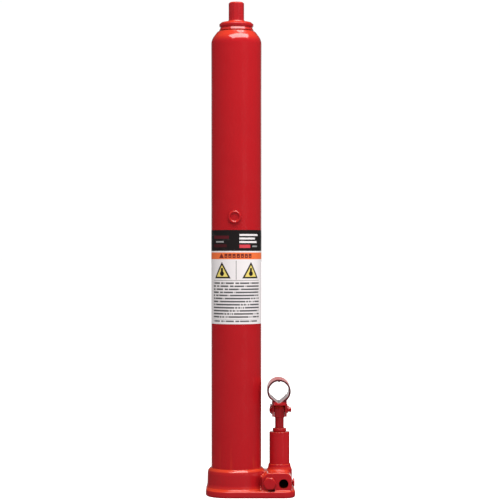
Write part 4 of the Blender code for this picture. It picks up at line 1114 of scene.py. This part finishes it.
# %% Plugs
def relief_hex():
    low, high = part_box("relief_cap")
    at = (centre_of("relief_cap").x, 0.0, centre_of("relief_cap").z)
    corner = (high.x - low.x) / 2
    seat = BLOCK_FACE + GAP
    outline = arc((0.0, 0.0), corner, 0.0, 300.0, 5)
    cap = plate("relief_hex", outline, -low.y - seat, (at[0], -seat, at[2]), TO_FRONT)
    dome_radius = corner * 0.985
    profile = [
        (0.0, seat - 1.0 * MM), (corner * 1.1, seat - 1.0 * MM),
        (corner * 1.1, -low.y - 2.6 * MM), (dome_radius, -low.y - 2.0 * MM, 1.5 * MM),
        (dome_radius * 0.80, -low.y, 1.2 * MM), (0.0, -low.y),
    ]
    turning = turned("turning", profile, 72, at, TO_FRONT)
    combined(cap, [turning], "INTERSECT")
    bevelled(cap, 0.45 * MM, 2, 25.0)
    stem = turned("stem", [(0.0, 31.0 * MM), (3.9 * MM, 31.0 * MM), (3.9 * MM, seat + 1.0 * MM),
                           (0.0, seat + 1.0 * MM)], 48, at, TO_FRONT)
    return welded(cap, stem)


def side_cap():
    low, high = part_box("side_plug")
    at = (0.0, 0.0, centre_of("side_plug").z)
    head = (high.z - low.z) / 2
    thread = 3.5 * MM
    face = high.x - 2.2 * MM
    profile = [
        (0.0, low.x), (thread, low.x, 0.4 * MM), (thread, face), (head, face, 0.3 * MM),
        (head, high.x, 0.9 * MM), (2.4 * MM, high.x, 0.3 * MM),
        (2.2 * MM, high.x - 1.4 * MM, 0.2 * MM), (0.0, high.x - 1.4 * MM),
    ]
    return turned("side_cap", profile, 64, at, TO_PUMP_SIDE)


def spindle():
    low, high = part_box("release_spindle")
    middle = centre_of("release_spindle")
    at = (middle.x, 0.0, middle.z)
    tip = -high.y
    front = -low.y
    bore = 4.2 * MM
    head = (high.z - low.z) / 2
    groove = -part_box("release_o_ring")[1].y - 0.3 * MM
    profile = [
        (0.0, tip), (2.0 * MM, tip, 0.4 * MM), (2.0 * MM, tip + 1.0 * MM),
        (bore, tip + 1.6 * MM), (bore, groove), (bore - 1.4 * MM, groove),
        (bore - 1.4 * MM, groove + 2.0 * MM), (bore, groove + 2.0 * MM),
        (bore, front - 3.0 * MM), (head, front - 3.0 * MM, 0.3 * MM),
        (head, front, 0.7 * MM), (0.0, front),
    ]
    body = turned("spindle", profile, 64, at, TO_FRONT)
    outline = rectangle(-7.0 * MM, 7.0 * MM, -0.8 * MM, 0.8 * MM)
    slot_at = (at[0], low.y + 1.6 * MM, at[2])
    return cut(body, plate("slot", outline, 4.0 * MM, slot_at, TO_FRONT))


def filler_bung():
    low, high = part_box("filler_plug")
    middle = centre_of("filler_plug")
    turn = (math.pi / 2, 0.0, math.atan2(middle.x, -middle.y))
    at = (0.0, 0.0, middle.z)
    radius = (high.z - low.z) / 2
    outer = TUBE_RADIUS + 3.1 * MM
    head_profile = [
        (0.0, TUBE_RADIUS - 3.0 * MM), (radius, TUBE_RADIUS - 3.0 * MM),
        (radius, outer, 1.3 * MM), (radius - 2.2 * MM, outer, 0.8 * MM),
        (radius - 3.0 * MM, outer - 1.7 * MM, 0.8 * MM), (2.0 * MM, outer - 1.7 * MM),
        (0.0, outer - 1.3 * MM),
    ]
    head = turned("filler_bung", head_profile, 96, at, turn)
    seat = hole(TUBE_RADIUS + 0.1 * MM, (0.0, 0.0, middle.z - 20.0 * MM), 40.0 * MM, sides=160)
    cut(head, seat)
    stem_profile = [
        (0.0, TUBE_RADIUS - 5.5 * MM), (3.8 * MM, TUBE_RADIUS - 5.5 * MM, 0.5 * MM),
        (4.7 * MM, TUBE_RADIUS - 4.0 * MM, 0.6 * MM), (4.7 * MM, TUBE_RADIUS + 0.9 * MM),
        (0.0, TUBE_RADIUS + 0.9 * MM),
    ]
    return welded(head, turned("stem", stem_profile, 64, at, turn))


fitting(relief_hex(), "jack_body", "relief_cap")
fitting(side_cap(), "jack_body", "side_plug")
dress(spindle(), "release_screw", black_steel, "machined_steel", "release_spindle")
dress(filler_bung(), "filler", red_rubber, "filler_plug", "filler_plug")

# %% [markdown]
# ## The label's vinyl
# The label is a real sheet with rounded corners, a grid rolled round the tube, so its edge catches
# the light as a sticker's does.


# %% Label sheet
def label_sheet():
    inner = TUBE_RADIUS + 0.06 * MM
    thickness = 0.16 * MM
    half = math.asin(min(label_high.x / (TUBE_RADIUS + GAP), 1.0))
    half = math.pi - half if label_high.y > 0 else half
    width = 2 * half * TUBE_RADIUS
    height = label_high.z - label_low.z
    corner = 2.0 * MM
    columns = 128
    lines = 32
    bm = bmesh.new()
    grid = []
    for column in range(columns + 1):
        across = width * (column / columns - 0.5)
        inset = max(corner - (width / 2 - abs(across)), 0.0)
        drop = corner - math.sqrt(max(corner ** 2 - inset ** 2, 0.0))
        angle = across / TUBE_RADIUS
        rows = []
        for row in range(lines + 1):
            up = label_low.z + drop + (height - 2 * drop) * row / lines
            rows.append(bm.verts.new((inner * math.sin(angle), -inner * math.cos(angle), up)))
        grid.append(rows)
    for left, right in zip(grid, grid[1:]):
        for row in range(lines):
            bm.faces.new((left[row], right[row], right[row + 1], left[row + 1]))
    sheet = as_object("printed_label", bm)
    skin = sheet.modifiers.new("thickness", "SOLIDIFY")
    skin.thickness = thickness
    skin.offset = 1.0
    return frozen(sheet)


dress(label_sheet(), "jack_body", label_finish, "label", "label")

# %% [markdown]
# ## What stays hidden
# The seals, valves and piston only show if the jack is opened, but each still gets the finish of
# its real material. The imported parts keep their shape.

# %% Hidden parts
inner_finishes = {
    "machined_steel": steel,
    "ball_steel": ball_steel,
    "spring_steel": spring_steel,
    "bronze": bronze,
    "copper": copper,
    "seal_rubber": black_rubber,
}
slots = {entry["node"]: entry["material_slot"] for entry in frame["record"]["subparts"]}
for node, part in frame["nodes"].items():
    chosen = inner_finishes.get(slots.get(node))
    if chosen:
        part.data.materials.clear()
        part.data.materials.append(chosen)
print("inner parts finished:", sum(1 for slot in slots.values() if slot in inner_finishes))

# %% [markdown]
# ## Floor, light and camera
# A studio for a glossy object is mostly what it reflects. The wall behind is white, so the tube's
# edges catch a pale line. The space in front is dim, so the red stays deep. A wide lamp overhead
# brightens everything that faces up: the shoulder, the collar and the foot.


# %% Studio
def stage_floor():
    bm = bmesh.new()
    bmesh.ops.create_grid(bm, x_segments=8, y_segments=8, size=40.0)
    floor = as_object("studio_floor", bm, (0.0, 0.0, base_low.z - 0.05 * MM))
    finish = Finish("pale floor")
    mottle = finish.smooth(finish.noise(9.0, 4.0), 0.3, 0.7)
    finish.set("Base Color", finish.mix(mottle * 0.1, (0.93, 0.93, 0.93), (0.9, 0.9, 0.9)))
    finish.set("Roughness", 0.9)
    finish.set("Emission Color", (1.0, 1.0, 1.0))
    finish.set("Emission Strength", 0.75)
    floor.data.materials.append(finish.material)
    floor.visible_glossy = False
    floor.visible_diffuse = False


def studio_world():
    """Full white to the eye, soft fill on matt surfaces, and a dark room in reflections."""
    world = bpy.data.worlds.new("studio")
    bpy.context.scene.world = world
    world.use_nodes = True
    graph = Graph(world.node_tree)
    _right, ahead, up = graph.parts(graph.node("ShaderNodeTexCoord"))
    wall = graph.smooth(ahead, 0.80, 1.00) * graph.ramp(up, CEILING, CEILING_EDGE)
    rays = graph.node("ShaderNodeLightPath").output.node
    by_eye = Signal(graph.tree, rays.outputs["Is Camera Ray"])
    by_gloss = Signal(graph.tree, rays.outputs["Is Glossy Ray"])
    room = wall * BACK_WALL + DARK_ROOM
    strength = (1.0 - by_gloss) * FILL + by_gloss * room
    background = graph.tree.nodes["Background"]
    feed(graph.tree, strength * (1.0 - by_eye) + by_eye * SEEN_WHITE, background.inputs["Strength"])
    feed(graph.tree, (1.0, 1.0, 1.0), background.inputs["Color"])


def lamp(name, place, size, power, aim, tint=(1.0, 1.0, 1.0), glossy=True):
    data = bpy.data.lights.new(name, "AREA")
    data.shape = "RECTANGLE"
    data.size, data.size_y = size
    data.energy = power
    data.color = tint
    light = bpy.data.objects.new(name, data)
    light.location = place
    light.rotation_euler = (Vector(aim) - Vector(place)).to_track_quat("-Z", "Y").to_euler()
    light.visible_glossy = glossy
    bpy.context.scene.collection.objects.link(light)


SEEN_WHITE = 1.02
FILL = 0.66
DARK_ROOM = 0.04
BACK_WALL = 0.9
CEILING = 0.16
CEILING_EDGE = 0.10
middle = (Vector(cad_box[0]) + Vector(cad_box[1])) / 2
stage_floor()
studio_world()
lamp("overhead", (0.26, -0.68, 2.0), (2.1, 1.04), 53.0, (0.0, -0.1, 0.3), (1.0, 0.92, 0.92))
lamp("right key", (1.7, -2.1, 0.7), (1.2, 1.6), 19.5, middle, glossy=False)
print("studio lit")

# %% [markdown]
# ## The camera
# The view is level, from a little over two metres, with a long lens, as in a catalogue. The lens
# follows from the frame's height: the jack fills nearly all of it.

# %% Camera
EYE_DISTANCE = 2.07
SENSOR = 36.0 * MM
FRAME_HEIGHT = 0.631
SIDE_SHIFT = -0.4 * MM
HEIGHT_SHIFT = -2.4 * MM
camera_data = bpy.data.cameras.new("catalogue camera")
camera_data.sensor_width = SENSOR / MM
camera_data.lens = SENSOR / MM * EYE_DISTANCE / FRAME_HEIGHT
camera = bpy.data.objects.new("catalogue camera", camera_data)
camera.location = (middle.x + SIDE_SHIFT, -EYE_DISTANCE, middle.z + HEIGHT_SHIFT)
camera.rotation_euler = (math.pi / 2, 0.0, 0.0)
bpy.context.scene.collection.objects.link(camera)
bpy.context.scene.camera = camera
print("camera at", [round(v, 3) for v in camera.location], "lens", round(camera_data.lens, 1), "mm")
